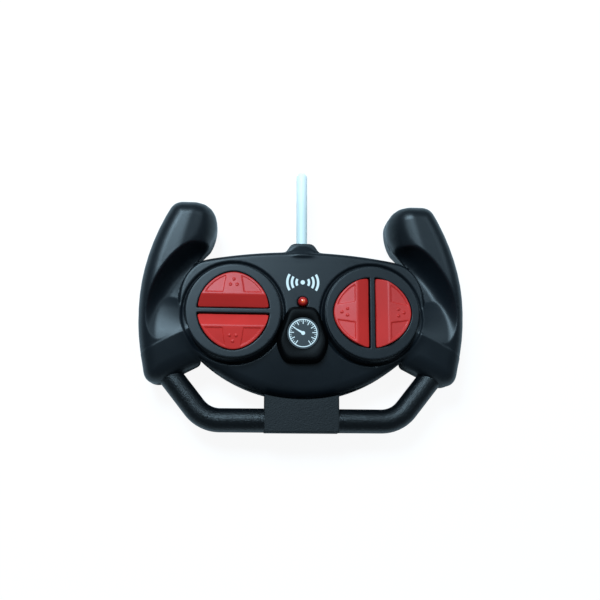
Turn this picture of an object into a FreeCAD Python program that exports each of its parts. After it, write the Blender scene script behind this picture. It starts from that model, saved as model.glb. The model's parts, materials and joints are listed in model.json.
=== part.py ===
"""Toy radio-control transmitter shaped like a steering wheel, built as separate pieces.

Frame: millimetres, +Z out of the front face, +Y towards the antenna, +X to the right.
The origin is on the flat back rest of the battery hump, midway between the two thumb pads.
Every size is a cell of the sheet "Size"; the pieces are tied to the cells by formulas.
"""
import FreeCAD, Part
import math
import os
import re
import Sketcher
from FreeCAD import Placement, Rotation, Vector

SIZES = {
    # whole case
    "span": (169.4, "overall width over both grips"),
    "wall": (2.0, "wall of the moulded shells"),
    "split_z": (17.0, "parting plane of the case, axis of antenna and lower bar"),
    "body_front_z": (26.0, "front face of the central body"),
    "body_back_z": (7.0, "back face of the central body"),
    "body_top_y": (33.3, "top of the body on the centre line"),
    "body_top_arc": (263.0, "radius of the body's top edge"),
    "body_bottom_y": (-44.3, "bottom of the body on the centre line"),
    "body_bottom_arc": (78.0, "radius of the body's bottom edge"),
    "body_half_w": (68.0, "half width of the body under the grips"),
    "dome_start_y": (2.0, "where the front face starts to fall towards the bottom"),
    "dome_arc": (166.0, "radius of the falling front face"),
    "edge_fillet": (2.5, "rounding of the body's front and back edges"),
    "hump_half_w": (38.0, "half width of the battery hump"),
    "hump_half_l": (22.0, "half length of the battery hump"),
    "hump_corner": (6.0, "corner radius of the battery hump"),
    "hump_draft": (2.5, "how far the hump's walls lean out towards the body"),
    # grips
    "grip_arc": (118.0, "radius of the grip's outer edge"),
    "grip_wide_y": (-2.5, "height at which the grips are widest"),
    "grip_top_y": (58.2, "flat top of the grips"),
    "grip_bottom_y": (-36.6, "bottom of the grips"),
    "grip_front_z": (35.8, "highest part of a grip's front"),
    "grip_back_z": (3.0, "lowest part of a grip's back"),
    "grip_round": (8.0, "rounding of a grip's front and back edges"),
    "grip_corner": (3.0, "rounding of a grip's upright corners"),
    "grip_fall": (11.2, "how far a grip's front falls towards its bottom"),
    "grip_rise": (5.0, "how far a grip's back rises towards its bottom"),
    "grip_top_out": (68.8, "outer end of the flat top, from the centre line"),
    "grip_top_in": (55.0, "inner end of the flat top, from the centre line"),
    "grip_inner_x": (45.6, "innermost point of a grip"),
    "grip_inner_y": (48.6, "height of that point"),
    "neck_x": (49.2, "where a grip's inner edge turns to the notch"),
    "neck_y": (35.2, "height of that turn"),
    "notch_x": (58.0, "notch between grip and body"),
    "notch_y": (26.0, "height of the notch"),
    "lobe_in_x": (52.5, "where the lower lobe leaves the body"),
    "lobe_in_y": (-26.0, "height of that point"),
    "lobe_low_in": (73.0, "inner end of the lobe's flat bottom"),
    "lobe_round": (7.0, "rounding of the lobe's outer corner"),
    # thumb scoop round each pad
    "pad_x": (36.0, "centre of each thumb pad from the centre line"),
    "scoop_in": (29.5, "inner radius of the thumb scoop"),
    "scoop_out": (43.4, "outer radius of the thumb scoop at its crease"),
    "scoop_floor_z": (20.6, "floor of the thumb scoop"),
    "scoop_end": (196.0, "angle at which the scoop ends, from +X, on the left"),
    # raised pads, bezels and buttons
    "turret_land": (0.6, "how far the raised ring shows round a bezel"),
    "turret_draft": (1.2, "how far that ring widens towards its foot"),
    "turret_z": (29.4, "top of that ring"),
    "spigot_wall": (1.5, "wall of the bezel's spigot round the buttons"),
    "bezel_lip": (3.8, "how far a bezel's face reaches past its spigot"),
    "bezel_thick": (1.5, "thickness of a bezel's face"),
    "bezel_foot_z": (24.0, "foot of the bezel's spigot"),
    "slide_gap": (0.3, "clearance round what slides or lies loose"),
    "fit_gap": (0.1, "clearance round what is pressed or clamped"),
    "button_r": (18.6, "radius of a half-moon button"),
    "button_offset": (1.75, "straight edge of a button from the pad's centre"),
    "rib_half_w": (1.25, "half width of the bezel's rib"),
    "button_low_z": (29.6, "button's face at the rib"),
    "button_ridge_z": (33.2, "button's face at its ridge"),
    "button_edge_z": (31.2, "button's face at its rim"),
    "ridge_at": (6.4, "ridge from the button's straight edge"),
    "button_wall": (1.5, "wall of a button"),
    "flange_lip": (1.5, "how far the button's flange stands out under the bezel"),
    "flange_thick": (1.2, "thickness of the button's flange"),
    "plunger_r": (2.2, "radius of a button's plunger"),
    "plunger_at": (9.0, "plunger from the pad's centre"),
    # gauge pod
    "pod_y": (-13.0, "centre of the pod's wide end"),
    "pod_r": (13.2, "radius of the pod's wide end"),
    "pod_tip_y": (-5.4, "centre of the pod's narrow end"),
    "pod_tip_r": (9.2, "radius of the pod's narrow end"),
    "pod_z": (30.2, "face of the pod"),
    "dial_y": (-11.1, "centre of the dial"),
    "dial_r": (8.2, "radius of the dial"),
    "dial_depth": (0.9, "recess of the dial"),
    "dial_thick": (0.6, "thickness of the dial plate"),
    # lower bar
    "bar_y": (-55.0, "axis of the lower bar"),
    "bar_r": (6.2, "radius of the lower bar"),
    "bar_corner_x": (50.0, "corner of the bar's axis"),
    "bar_end_x": (70.0, "end of the bar's axis inside the grip"),
    "bar_end_y": (-30.0, "end of the bar's axis inside the grip"),
    "bar_bend": (17.0, "bend radius of the bar's axis"),
    "block_half_w": (19.2, "half width of the centre block"),
    "block_top_y": (-39.0, "top of the centre block before it meets the body"),
    # antenna
    "antenna_r": (2.9, "radius of the antenna"),
    "antenna_tip_y": (80.0, "tip of the antenna"),
    "antenna_foot_y": (28.0, "inner end of the antenna"),
    "collar_y": (39.2, "mouth of the antenna's collar"),
    "collar_r": (5.7, "radius at the mouth of the collar"),
    "collar_foot_r": (10.2, "radius at the foot of the collar"),
    "collar_foot_y": (31.0, "foot of the collar"),
    # circuit board and what it carries
    "board_z": (19.0, "underside of the circuit board"),
    "board_thick": (1.6, "thickness of the circuit board"),
    "board_half_w": (52.0, "half width of the circuit board"),
    "board_top_y": (21.0, "top edge of the circuit board"),
    "board_bottom_y": (-20.5, "bottom edge of the circuit board"),
    "board_corner": (8.0, "chamfer of the board's corners"),
    "dome_r": (4.5, "radius of a rubber dome's foot"),
    "dome_rise": (3.0, "height of a rubber dome"),
    "led_r": (2.5, "radius of the lamp"),
    "led_y": (6.0, "centre of the lamp"),
    "led_top_z": (29.4, "top of the lamp"),
    "side_room": (11.0, "middle of the room beside the battery bay, from its wall"),
    "chip_wide": (6.4, "width of the coding chip"),
    "chip_long": (19.4, "length of the coding chip"),
    "chip_deep": (3.6, "how far the chip stands under the board"),
    "leg_row": (3.4, "row of the chip's legs from its middle"),
    "crystal_wide": (4.6, "width of the crystal's can"),
    "crystal_long": (11.0, "length of the crystal's can"),
    "crystal_deep": (7.5, "height of the crystal's can"),
    "coil_size": (7.4, "side of the tuning coil's can"),
    "coil_deep": (8.0, "height of the tuning coil's can"),
    "can_r": (2.4, "radius of a transistor and of a middling capacitor"),
    "can_tall": (5.5, "height of a transistor and of a middling capacitor"),
    "resistor_r": (1.1, "radius of a resistor"),
    "resistor_len": (6.4, "length of a resistor"),
    "resistor_row": (3.1, "distance between neighbouring resistors"),
    # batteries
    "cell_r": (7.2, "radius of a battery cell"),
    "cell_len": (49.2, "length of a cell without its button"),
    "cell_button": (1.3, "height of a cell's button"),
    "cell_button_r": (2.75, "radius of a cell's button"),
    "cell_z": (9.5, "axis of the cells"),
    "cell_pitch": (14.8, "distance between the cells"),
    "bay_half_w": (29.8, "half length of the battery bay inside"),
    "bay_half_l": (15.4, "half width of the battery bay inside"),
    "bay_wall": (1.2, "wall of the battery bay"),
    "bay_top_z": (17.0, "ceiling of the battery bay"),
    "door_thick": (1.8, "thickness of the battery door"),
    "door_half_w": (31.2, "half width of the battery door between its tongues"),
    "tongue": (1.2, "how far the door's tongues reach into the rails"),
    "tongue_z": (0.9, "underside of the tongues"),
    "door_top_y": (17.0, "inner end of the door"),
    "contact_thick": (0.5, "thickness of the contact plates"),
    "spring_len": (5.6, "length of a compressed contact spring"),
    "lead_r": (0.6, "radius of the insulated leads"),
    # screws
    "screw_r": (1.3, "radius of a case screw"),
    "head_r": (2.5, "radius of its head"),
    "head_thick": (1.8, "thickness of its head"),
    "seat_z": (11.0, "seat of the screw heads"),
    "screw_reach": (4.0, "how far a screw reaches past the parting plane"),
    "boss_wall": (1.3, "wall of a screw boss"),
    "top_screw_x": (24.0, "upper body screws"),
    "top_screw_y": (25.8, "upper body screws"),
    "low_screw_x": (28.0, "lower body screws"),
    "low_screw_y": (-31.0, "lower body screws"),
    "grip_screw_x": (65.5, "upper grip screws"),
    "grip_screw_y": (46.0, "upper grip screws"),
    "lobe_screw_x": (71.0, "lower grip screws"),
    "lobe_screw_y": (-24.0, "lower grip screws"),
    "board_screw_x": (14.0, "board screws"),
    "board_screw_y": (18.4, "board screws"),
    "board_screw_r": (1.0, "radius of a board screw"),
}

# formulas that several pieces share
BUTTON_BORE = "(button_r + button_offset - rib_half_w)"
PAD_BORE = f"({BUTTON_BORE} + spigot_wall)"
BEZEL_R = f"({PAD_BORE} + bezel_lip)"
TURRET_R = f"({BEZEL_R} + turret_land)"
FLANGE_R = "(button_r + flange_lip)"

doc = FreeCAD.newDocument("transmitter")
sheet = doc.addObject("Spreadsheet::Sheet", "Size")
for row, (alias, (value, note)) in enumerate(SIZES.items(), start=1):
    sheet.set(f"A{row}", str(value))
    sheet.set(f"B{row}", note)
    sheet.setAlias(f"A{row}", alias)
doc.recompute()


class SheetReader:
    """Gives the number in a cell by its alias, for the shapes that code makes."""

    def __getattr__(self, alias):
        return float(sheet.get(alias))


mm = SheetReader()
PIECES = []
BUTTON_BORE_MM = mm.button_r + mm.button_offset - mm.rib_half_w
PAD_BORE_MM = BUTTON_BORE_MM + mm.spigot_wall
BEZEL_R_MM = PAD_BORE_MM + mm.bezel_lip
UP = Vector(0, 0, 1)
AXES = {"x": Rotation(Vector(0, 1, 0), 90), "y": Rotation(Vector(1, 0, 0), -90), "z": Rotation()}


# ---------------------------------------------------------------- helpers
def bind(thing, prop, formula):
    """Tie one property to the sheet: a word that is a cell's alias is read from the sheet."""
    words = r"[a-z]+(?:_[a-z]+)*"
    tied = re.sub(words, lambda m: "Size." + m[0] if m[0] in SIZES else m[0], str(formula))
    thing.setExpression(prop, tied)


def place(thing, x=0, y=0, z=0):
    for axis, formula in zip("xyz", (x, y, z)):
        bind(thing, f"Placement.Base.{axis}", formula)


def block(name, x, y, z):
    """A box between two formulas along each axis."""
    thing = doc.addObject("Part::Box", name)
    for prop, (low, high) in zip(("Length", "Width", "Height"), (x, y, z)):
        bind(thing, prop, f"({high}) - ({low})")
    place(thing, x[0], y[0], z[0])
    return thing


def rod(name, radius, at, length, axis="z", top_radius=None):
    """A cylinder, or a cone when a second radius is given, from a point along +X, +Y or +Z."""
    kind = "Part::Cylinder" if top_radius is None else "Part::Cone"
    thing = doc.addObject(kind, name)
    if top_radius is None:
        bind(thing, "Radius", radius)
    else:
        bind(thing, "Radius1", radius)
        bind(thing, "Radius2", top_radius)
    bind(thing, "Height", length)
    thing.Placement = Placement(Vector(), AXES[axis])
    place(thing, *at)
    return thing


def ball(name, radius, at):
    thing = doc.addObject("Part::Sphere", name)
    bind(thing, "Radius", radius)
    place(thing, *at)
    return thing


def fuse(name, *parts):
    thing = doc.addObject("Part::MultiFuse", name)
    thing.Shapes = list(parts)
    return thing


def common(name, first, second):
    thing = doc.addObject("Part::Common", name)
    thing.Base, thing.Tool = first, second
    return thing


def cut(name, base, *tools):
    """The base less every tool, one after another."""
    for k, tool in enumerate(tools):
        last = k == len(tools) - 1
        step = doc.addObject("Part::Cut", name if last else f"{name}_less_{tool.Name}")
        step.Base, step.Tool = base, tool
        base = step
    return base


def shaped(name, shape):
    """A piece or tool whose shape is worked out in code."""
    thing = doc.addObject("Part::Feature", name)
    thing.Shape = shape
    return thing


def group(name, solids):
    """Several separate solids that share one node."""
    thing = doc.addObject("Part::Compound", name)
    thing.Links = list(solids)
    return thing


def piece(thing):
    """Mark an object as one of the pieces that are written out; its label names the file."""
    thing.Label = thing.Name
    PIECES.append(thing)
    return thing


def sketch_on(body, name, role, height="0"):
    """A sketch on one of the body's origin planes, moved along the plane's normal."""
    sketch = body.newObject("Sketcher::SketchObject", name)
    plane = next(f for f in body.Origin.OriginFeatures if f.Role == role)
    sketch.AttachmentSupport = (plane, [""])
    sketch.MapMode = "FlatFace"
    bind(sketch, "AttachmentOffset.Base.z", height)
    return sketch


def tie(sketch, kind, *where, value, formula):
    """One dimension of a sketch, tied to the sheet."""
    index = sketch.addConstraint(Sketcher.Constraint(kind, *where, value))
    bind(sketch, f"Constraints[{index}]", formula)


def sketch_circle(sketch, radius, formula, y=0.0, y_formula=None):
    """A circle on the sketch's upright axis."""
    ring = sketch.addGeometry(Part.Circle(Vector(0, y, 0), UP, radius))
    sketch.addConstraint(Sketcher.Constraint("PointOnObject", ring, 3, -2))
    tie(sketch, "Radius", ring, value=radius, formula=formula)
    if y_formula:
        tie(sketch, "DistanceY", -1, 1, ring, 3, value=y, formula=y_formula)
    else:
        sketch.addConstraint(Sketcher.Constraint("PointOnObject", ring, 3, -1))


def sketch_half_moon(sketch, radius, radius_formula, offset, offset_formula):
    """Half a disc above its straight edge, centred on the middle of that edge."""
    centre = Vector(0, offset, 0)
    arc = sketch.addGeometry(Part.ArcOfCircle(Part.Circle(centre, UP, radius), 0, math.pi))
    ends = Vector(radius, offset, 0), Vector(-radius, offset, 0)
    edge = sketch.addGeometry(Part.LineSegment(ends[1], ends[0]))
    sketch.addConstraint(Sketcher.Constraint("Coincident", arc, 2, edge, 1))
    sketch.addConstraint(Sketcher.Constraint("Coincident", arc, 1, edge, 2))
    sketch.addConstraint(Sketcher.Constraint("Horizontal", edge))
    sketch.addConstraint(Sketcher.Constraint("PointOnObject", arc, 3, edge))
    sketch.addConstraint(Sketcher.Constraint("PointOnObject", arc, 3, -2))
    tie(sketch, "Radius", arc, value=radius, formula=radius_formula)
    tie(sketch, "DistanceY", -1, 1, arc, 3, value=offset, formula=offset_formula)


def sketch_outline(sketch, points):
    """A closed outline through points that code works out from the sheet."""
    count = len(points)
    lines = [Part.LineSegment(points[k], points[(k + 1) % count]) for k in range(count)]
    first = sketch.addGeometry(lines)[0]
    for k in range(count):
        sketch.addConstraint(Sketcher.Constraint("Coincident", first + k, 2, first + (k + 1) % count, 1))


def pad(body, sketch, length):
    feature = body.newObject("PartDesign::Pad", sketch.Name + "_pad")
    feature.Profile = sketch
    bind(feature, "Length", length)
    return feature


def pocket(body, sketch, length, upwards=False):
    feature = body.newObject("PartDesign::Pocket", sketch.Name + "_pocket")
    feature.Profile = sketch
    bind(feature, "Length", length)
    feature.Reversed = upwards
    return feature


def route(points, radius):
    """Straight runs between points, joined by tangent arcs of one radius."""
    edges, start = [], points[0]
    for before, corner, after in zip(points, points[1:], points[2:]):
        come, leave = (before - corner).normalize(), (after - corner).normalize()
        half = come.getAngle(leave) / 2
        reach = radius / math.tan(half)
        middle = corner + (come + leave).normalize() * (radius / math.sin(half) - radius)
        first, last = corner + come * reach, corner + leave * reach
        edges += [Part.LineSegment(start, first).toShape(), Part.Arc(first, middle, last).toShape()]
        start = last
    edges.append(Part.LineSegment(start, points[-1]).toShape())
    return Part.Wire(edges)


def tube(wire, radius):
    """A round solid swept along a wire of lines and tangent arcs."""
    edge = wire.Edges[0]
    start, way = edge.Vertexes[0].Point, edge.tangentAt(edge.FirstParameter)
    ring = Part.Wire([Part.Circle(start, way, radius).toShape()])
    return wire.makePipeShell([ring], True, False)


# ---------------------------------------------------------------- case form
def body_outline(inset):
    """Outline of the central body: a lens between two arcs, cut off upright under the grips."""
    top, bottom = mm.body_top_y - inset, mm.body_bottom_y + inset
    top_arc, bottom_arc = mm.body_top_arc - inset, mm.body_bottom_arc - inset
    side = mm.body_half_w - inset

    def top_at(x):
        return top - top_arc + math.sqrt(top_arc ** 2 - x ** 2)

    def bottom_at(x):
        return bottom + bottom_arc - math.sqrt(bottom_arc ** 2 - x ** 2)

    corners = [Vector(-side, top_at(side)), Vector(side, top_at(side)),
               Vector(side, bottom_at(side)), Vector(-side, bottom_at(side))]
    return Part.Wire([
        Part.Arc(corners[0], Vector(0, top), corners[1]).toShape(),
        Part.LineSegment(corners[1], corners[2]).toShape(),
        Part.Arc(corners[2], Vector(0, bottom), corners[3]).toShape(),
        Part.LineSegment(corners[3], corners[0]).toShape()])


def body_slab(inset, back, front):
    """The body's outline raised from one height to another."""
    slab = Part.Face(body_outline(inset)).extrude(UP * (front - back))
    slab.translate(UP * back)
    return slab


def body_form(inset):
    """The central body: its outline under a front face that falls to the bottom."""
    back, front = mm.body_back_z + inset, mm.body_front_z - inset
    side = mm.body_half_w - inset
    slab = body_slab(inset, back, front)
    arc = mm.dome_arc - inset
    reach = mm.dome_start_y - mm.body_bottom_y + mm.span / 10
    fall = arc - math.sqrt(arc ** 2 - reach ** 2)
    sag = arc - math.sqrt(arc ** 2 - (reach / 2) ** 2)
    high, far = mm.body_top_y + mm.span / 10, mm.dome_start_y - reach
    corner = [Vector(-side, high, front), Vector(-side, mm.dome_start_y, front),
              Vector(-side, mm.dome_start_y - reach / 2, front - sag), Vector(-side, far, front - fall),
              Vector(-side, far, back), Vector(-side, high, back)]
    profile = Part.Wire([
        Part.LineSegment(corner[0], corner[1]).toShape(),
        Part.Arc(corner[1], corner[2], corner[3]).toShape(),
        Part.LineSegment(corner[3], corner[4]).toShape(),
        Part.LineSegment(corner[4], corner[5]).toShape(),
        Part.LineSegment(corner[5], corner[0]).toShape()])
    form = slab.common(Part.Face(profile).extrude(Vector(2 * side, 0, 0)))
    rounding = max(mm.edge_fillet - inset / 2, mm.edge_fillet / 3)
    long_edges = [e for e in form.Edges if e.Length > side and e.BoundBox.YLength < mm.span / 3
                  and e.BoundBox.ZLength < mm.wall * 2]
    return form.makeFillet(rounding, long_edges)


def hump_form(inset):
    """The battery hump: a rounded rectangle whose walls lean out towards the body."""
    def ring(grow, z):
        w, l, r = mm.hump_half_w - inset + grow, mm.hump_half_l - inset + grow, mm.hump_corner
        flat = Part.Wire(Part.makePolygon([Vector(-w, -l, z), Vector(w, -l, z), Vector(w, l, z),
                                           Vector(-w, l, z), Vector(-w, -l, z)]).Edges)
        box = Part.Face(flat).extrude(UP)
        posts = [e for e in box.Edges if abs(e.BoundBox.ZLength - 1) < 0.1 and e.BoundBox.XLength < 0.1]
        return min(box.makeFillet(r, posts).Faces, key=lambda f: f.CenterOfMass.z).OuterWire
    return Part.makeLoft([ring(0, inset), ring(mm.hump_draft, mm.body_back_z + mm.wall)], True, True)


def grip_outline():
    """Outline of the left grip: a large arc outside, a flat top and a round inner shoulder."""
    def outer(y):
        return Vector(-mm.span / 2 + mm.grip_arc - math.sqrt(mm.grip_arc ** 2 - (y - mm.grip_wide_y) ** 2), y)

    top_out, top_in = Vector(-mm.grip_top_out, mm.grip_top_y), Vector(-mm.grip_top_in, mm.grip_top_y)
    inner, neck = Vector(-mm.grip_inner_x, mm.grip_inner_y), Vector(-mm.neck_x, mm.neck_y)
    notch, leave = Vector(-mm.notch_x, mm.notch_y), Vector(-mm.lobe_in_x, mm.lobe_in_y)
    low_in = Vector(-mm.lobe_low_in, mm.grip_bottom_y)
    turn = outer(mm.grip_bottom_y + mm.lobe_round)
    low_out = Vector(turn.x + mm.lobe_round, mm.grip_bottom_y)
    slant = mm.lobe_round * (1 - math.sqrt(0.5))
    shoulder = Vector((inner.x + top_in.x) / 2 + mm.wall, (inner.y + top_in.y) / 2 + mm.wall)
    waist = Vector((inner.x + neck.x) / 2 + mm.wall / 2, (inner.y + neck.y) / 2)
    return Part.Wire([
        Part.LineSegment(top_out, top_in).toShape(),
        Part.Arc(top_in, shoulder, inner).toShape(),
        Part.Arc(inner, waist, neck).toShape(),
        Part.LineSegment(neck, notch).toShape(),
        Part.LineSegment(notch, leave).toShape(),
        Part.LineSegment(leave, low_in).toShape(),
        Part.LineSegment(low_in, low_out).toShape(),
        Part.Arc(low_out, Vector(turn.x + slant, mm.grip_bottom_y + slant), turn).toShape(),
        Part.Arc(turn, outer(mm.grip_wide_y), top_out).toShape()])


def grip_form(inset):
    """The left grip: its outline, rounded front and back, under a front that falls to the bottom."""
    low, high = mm.grip_back_z + inset, mm.grip_front_z - inset
    face = Part.Face(grip_outline())
    if inset:
        face = face.makeOffset2D(-inset, 0, False, False, False)
    slab = face.extrude(UP * (high - low))
    slab.translate(UP * low)
    posts = [edge for edge in slab.Edges if edge.BoundBox.ZLength > mm.wall]
    slab = slab.makeFillet(mm.grip_corner, posts)
    rims = [edge for edge in slab.Edges if edge.BoundBox.ZLength < mm.fit_gap]
    slab = slab.makeFillet(mm.grip_round - inset, rims)
    foot, clear, head = mm.grip_bottom_y - mm.lobe_round, mm.grip_top_y / 3, mm.grip_top_y + mm.lobe_round
    side, over = -mm.span * 0.6, mm.wall * 1.5
    profile = Part.makePolygon([Vector(side, y, z) for y, z in (
        (foot, high - mm.grip_fall), (clear, high + over), (head, high + over),
        (head, low - over), (clear, low - over), (foot, low + mm.grip_rise), (foot, high - mm.grip_fall))])
    return slab.common(Part.Face(profile).extrude(Vector(mm.span / 2, 0, 0)))


def scoop_form(grow):
    """The thumb scoop round the left pad: a trough turned about the pad's axis, round at its end."""
    inner, outer = mm.scoop_in - grow, mm.scoop_out + grow
    floor, top = mm.scoop_floor_z - grow, mm.body_front_z + mm.span / 10
    middle = (inner + outer) / 2
    low_in, low_out = inner + mm.wall, outer - 2 * mm.wall
    shoulder = floor + 2 * mm.wall
    centre = Vector(-mm.pad_x, 0, 0)

    def spot(r, z):
        return centre + Vector(r, 0, z)

    wall_in = Part.LineSegment(spot(inner, top), spot(low_in, shoulder)).toShape()
    low_out_spot = spot(low_out, shoulder + mm.wall)
    base = Part.Arc(spot(low_in, shoulder), spot(middle - mm.wall / 2, floor), low_out_spot)
    wall_out = Part.LineSegment(low_out_spot, spot(outer, top)).toShape()
    lid = Part.LineSegment(spot(outer, top), spot(inner, top)).toShape()
    face = Part.Face(Part.Wire([wall_in, base.toShape(), wall_out, lid]))
    start, end = 78.0, mm.scoop_end
    face.rotate(centre, UP, start)
    trough = face.revolve(centre, UP, end - start)
    end_way = Vector(math.cos(math.radians(end)), math.sin(math.radians(end)), 0)
    tip = centre + end_way * middle
    cap_r = (outer - inner) / 2
    cap = Part.makeCone(cap_r - 2 * mm.wall, cap_r, top - shoulder, tip + UP * shoulder)
    bowl = Part.makeSphere(cap_r - 2 * mm.wall, tip + UP * shoulder)
    return trough.fuse([cap, bowl]).removeSplitter()


def mirror_x(shape):
    return shape.mirror(Vector(), Vector(1, 0, 0))


def case_form(inset):
    """The whole case as one solid, drawn in by the wall when it stands for the hollow inside."""
    scoop = scoop_form(inset)
    pad_foot = Vector(-mm.pad_x, 0, mm.body_front_z - mm.wall / 4 - inset)
    pad_room = Part.makeCylinder(mm.scoop_in + mm.wall / 2 + inset, mm.span, pad_foot)
    grip = grip_form(inset).cut(pad_room)
    form = body_form(inset).fuse([hump_form(inset), grip, mirror_x(grip)])
    return form.cut([scoop, mirror_x(scoop)])


case_outer = shaped("case_outer", case_form(0))
case_inner = shaped("case_inner", case_form(mm.wall))

# ---------------------------------------------------------------- shells
SCREWS = [("top_screw_x", "top_screw_y"), ("low_screw_x", "low_screw_y"),
          ("grip_screw_x", "grip_screw_y"), ("lobe_screw_x", "lobe_screw_y")]
SPOTS = [(f"{side}{x}", y) for x, y in SCREWS for side in ("", "-")]
BOARD_SPOTS = [(f"{across}board_screw_x", f"{along}board_screw_y")
               for across in ("", "-") for along in ("", "-")]
SIDES = (("left", "-"), ("right", ""))

collar = rod("collar", "collar_foot_r", (0, "collar_foot_y", "split_z"), "collar_y - collar_foot_y",
             "y", "collar_r")
turrets, pad_bores = [], []
for side, sign in SIDES:
    foot = (f"{sign}pad_x", 0, "split_z + wall")
    tall = "turret_z - split_z - wall"
    turrets.append(rod(f"{side}_turret", f"{TURRET_R} + turret_draft", foot, tall, "z", TURRET_R))
    pad_bores.append(rod(f"{side}_pad_bore", PAD_BORE, foot, "turret_z"))
bosses = [rod(f"boss_{k}", "head_r + slide_gap + boss_wall", (x, y, 0), "grip_front_z")
          for k, (x, y) in enumerate(SPOTS)]
board_posts = [rod(f"board_post_{k}", "board_screw_r + boss_wall", (x, y, "body_back_z + wall / 2"),
                   "board_z - body_back_z - wall / 2") for k, (x, y) in enumerate(BOARD_SPOTS)]
bay = block("bay", ("-bay_half_w - bay_wall", "bay_half_w + bay_wall"),
            ("-bay_half_l - bay_wall", "bay_half_l + bay_wall"), ("wall / 2", "bay_top_z + bay_wall"))
bay_room = block("bay_room", ("-bay_half_w", "bay_half_w"), ("-bay_half_l", "bay_half_l"),
                 ("-wall", "bay_top_z"))
door_room = block("door_room", ("-door_half_w - slide_gap", "door_half_w + slide_gap"),
                  ("-hump_half_l - wall", "door_top_y + slide_gap"), ("-wall", "door_thick + slide_gap"))
rail_room = block("rail_room", ("-door_half_w - tongue - slide_gap", "door_half_w + tongue + slide_gap"),
                  ("-hump_half_l - wall", "door_top_y + slide_gap"),
                  ("tongue_z - slide_gap", "door_thick + slide_gap"))
rail_beds = block("rail_beds", ("-door_half_w - 2 * tongue - wall", "door_half_w + 2 * tongue + wall"),
                  ("-hump_half_l", "door_top_y + wall"), ("wall / 2", "door_thick + slide_gap + wall"))
lamp_hole = rod("lamp_hole", "led_r + slide_gap", (0, "led_y", "split_z"), "split_z")
antenna_hole = rod("antenna_hole", "antenna_r + fit_gap", (0, "antenna_foot_y - wall", "split_z"),
                   "collar_y", "y")
tab_slots = [block(f"tab_slot_{k}", ("bay_half_w - bay_wall", "bay_half_w + 2 * bay_wall"),
                   (f"{row} * cell_pitch / 2 - wall", f"{row} * cell_pitch / 2 + wall"),
                   ("cell_z - slide_gap", "cell_z + wall + slide_gap"))
             for k, row in enumerate((1, -1))]
screw_holes = [rod(f"screw_hole_{k}", "screw_r", (x, y, "seat_z - wall"),
                   "split_z + screw_reach - seat_z + wall")
               for k, (x, y) in enumerate(SPOTS)]
seats = [rod(f"screw_seat_{k}", "head_r + slide_gap", (x, y, "-wall"), "seat_z + wall")
         for k, (x, y) in enumerate(SPOTS)]
post_holes = [rod(f"post_hole_{k}", "board_screw_r", (x, y, "board_z - 3 * wall"), "3 * wall")
              for k, (x, y) in enumerate(BOARD_SPOTS)]
upper_half = block("upper_half", ("-span", "span"), ("-span", "span"), ("split_z", "2 * span"))
lower_half = block("lower_half", ("-span", "span"), ("-span", "span"), ("-span", "split_z"))

hollow = cut("hollow", case_inner, group("all_bosses", bosses))
case = cut("case", fuse("case_solid", case_outer, collar, *turrets), hollow)


def bar_path():
    """The lower bar's axis: up into both grips at the ends, level between two round corners."""
    corners = [(-mm.bar_end_x, mm.bar_end_y), (-mm.bar_corner_x, mm.bar_y),
               (mm.bar_corner_x, mm.bar_y), (mm.bar_end_x, mm.bar_end_y)]
    return route([Vector(x, y, mm.split_z) for x, y in corners], mm.bar_bend)


bar_outer = shaped("bar_outer", tube(bar_path(), mm.bar_r))
bar_inner = shaped("bar_inner", tube(bar_path(), mm.bar_r - mm.wall))
bar_room = shaped("bar_room", tube(bar_path(), mm.bar_r + mm.fit_gap))
body_room = shaped("body_room", body_slab(-mm.fit_gap, 0, mm.grip_front_z))

front_case = common("front_case", case, upper_half)
all_holes = group("all_screw_holes", screw_holes)
front_shell = piece(cut("front_shell", front_case, *pad_bores, lamp_hole, antenna_hole, bar_room, all_holes))
rear_case = fuse("rear_case", common("rear_skin", case, lower_half), bay, rail_beds, *board_posts)
rear_shell = piece(cut("rear_shell", rear_case, bay_room, door_room, rail_room, *tab_slots, antenna_hole,
                       bar_room, all_holes, group("all_seats", seats), group("all_post_holes", post_holes)))

# ---------------------------------------------------------------- lower bar
block_outer = block("block_outer", ("-block_half_w", "block_half_w"), ("bar_y - bar_r", "block_top_y"),
                    ("split_z - bar_r", "split_z + bar_r"))
block_inner = block("block_inner", ("-block_half_w + wall", "block_half_w - wall"),
                    ("bar_y - bar_r + wall", "block_top_y + wall"),
                    ("split_z - bar_r + wall", "split_z + bar_r - wall"))
bar_form = fuse("bar_form", bar_outer, block_outer)
bar_void = fuse("bar_void", bar_inner, block_inner)
bar_skin = cut("bar_skin", bar_form, bar_void, body_room)
lower_bar_front = piece(common("lower_bar_front", bar_skin, upper_half))
lower_bar_rear = piece(common("lower_bar_rear", bar_skin, lower_half))


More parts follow.
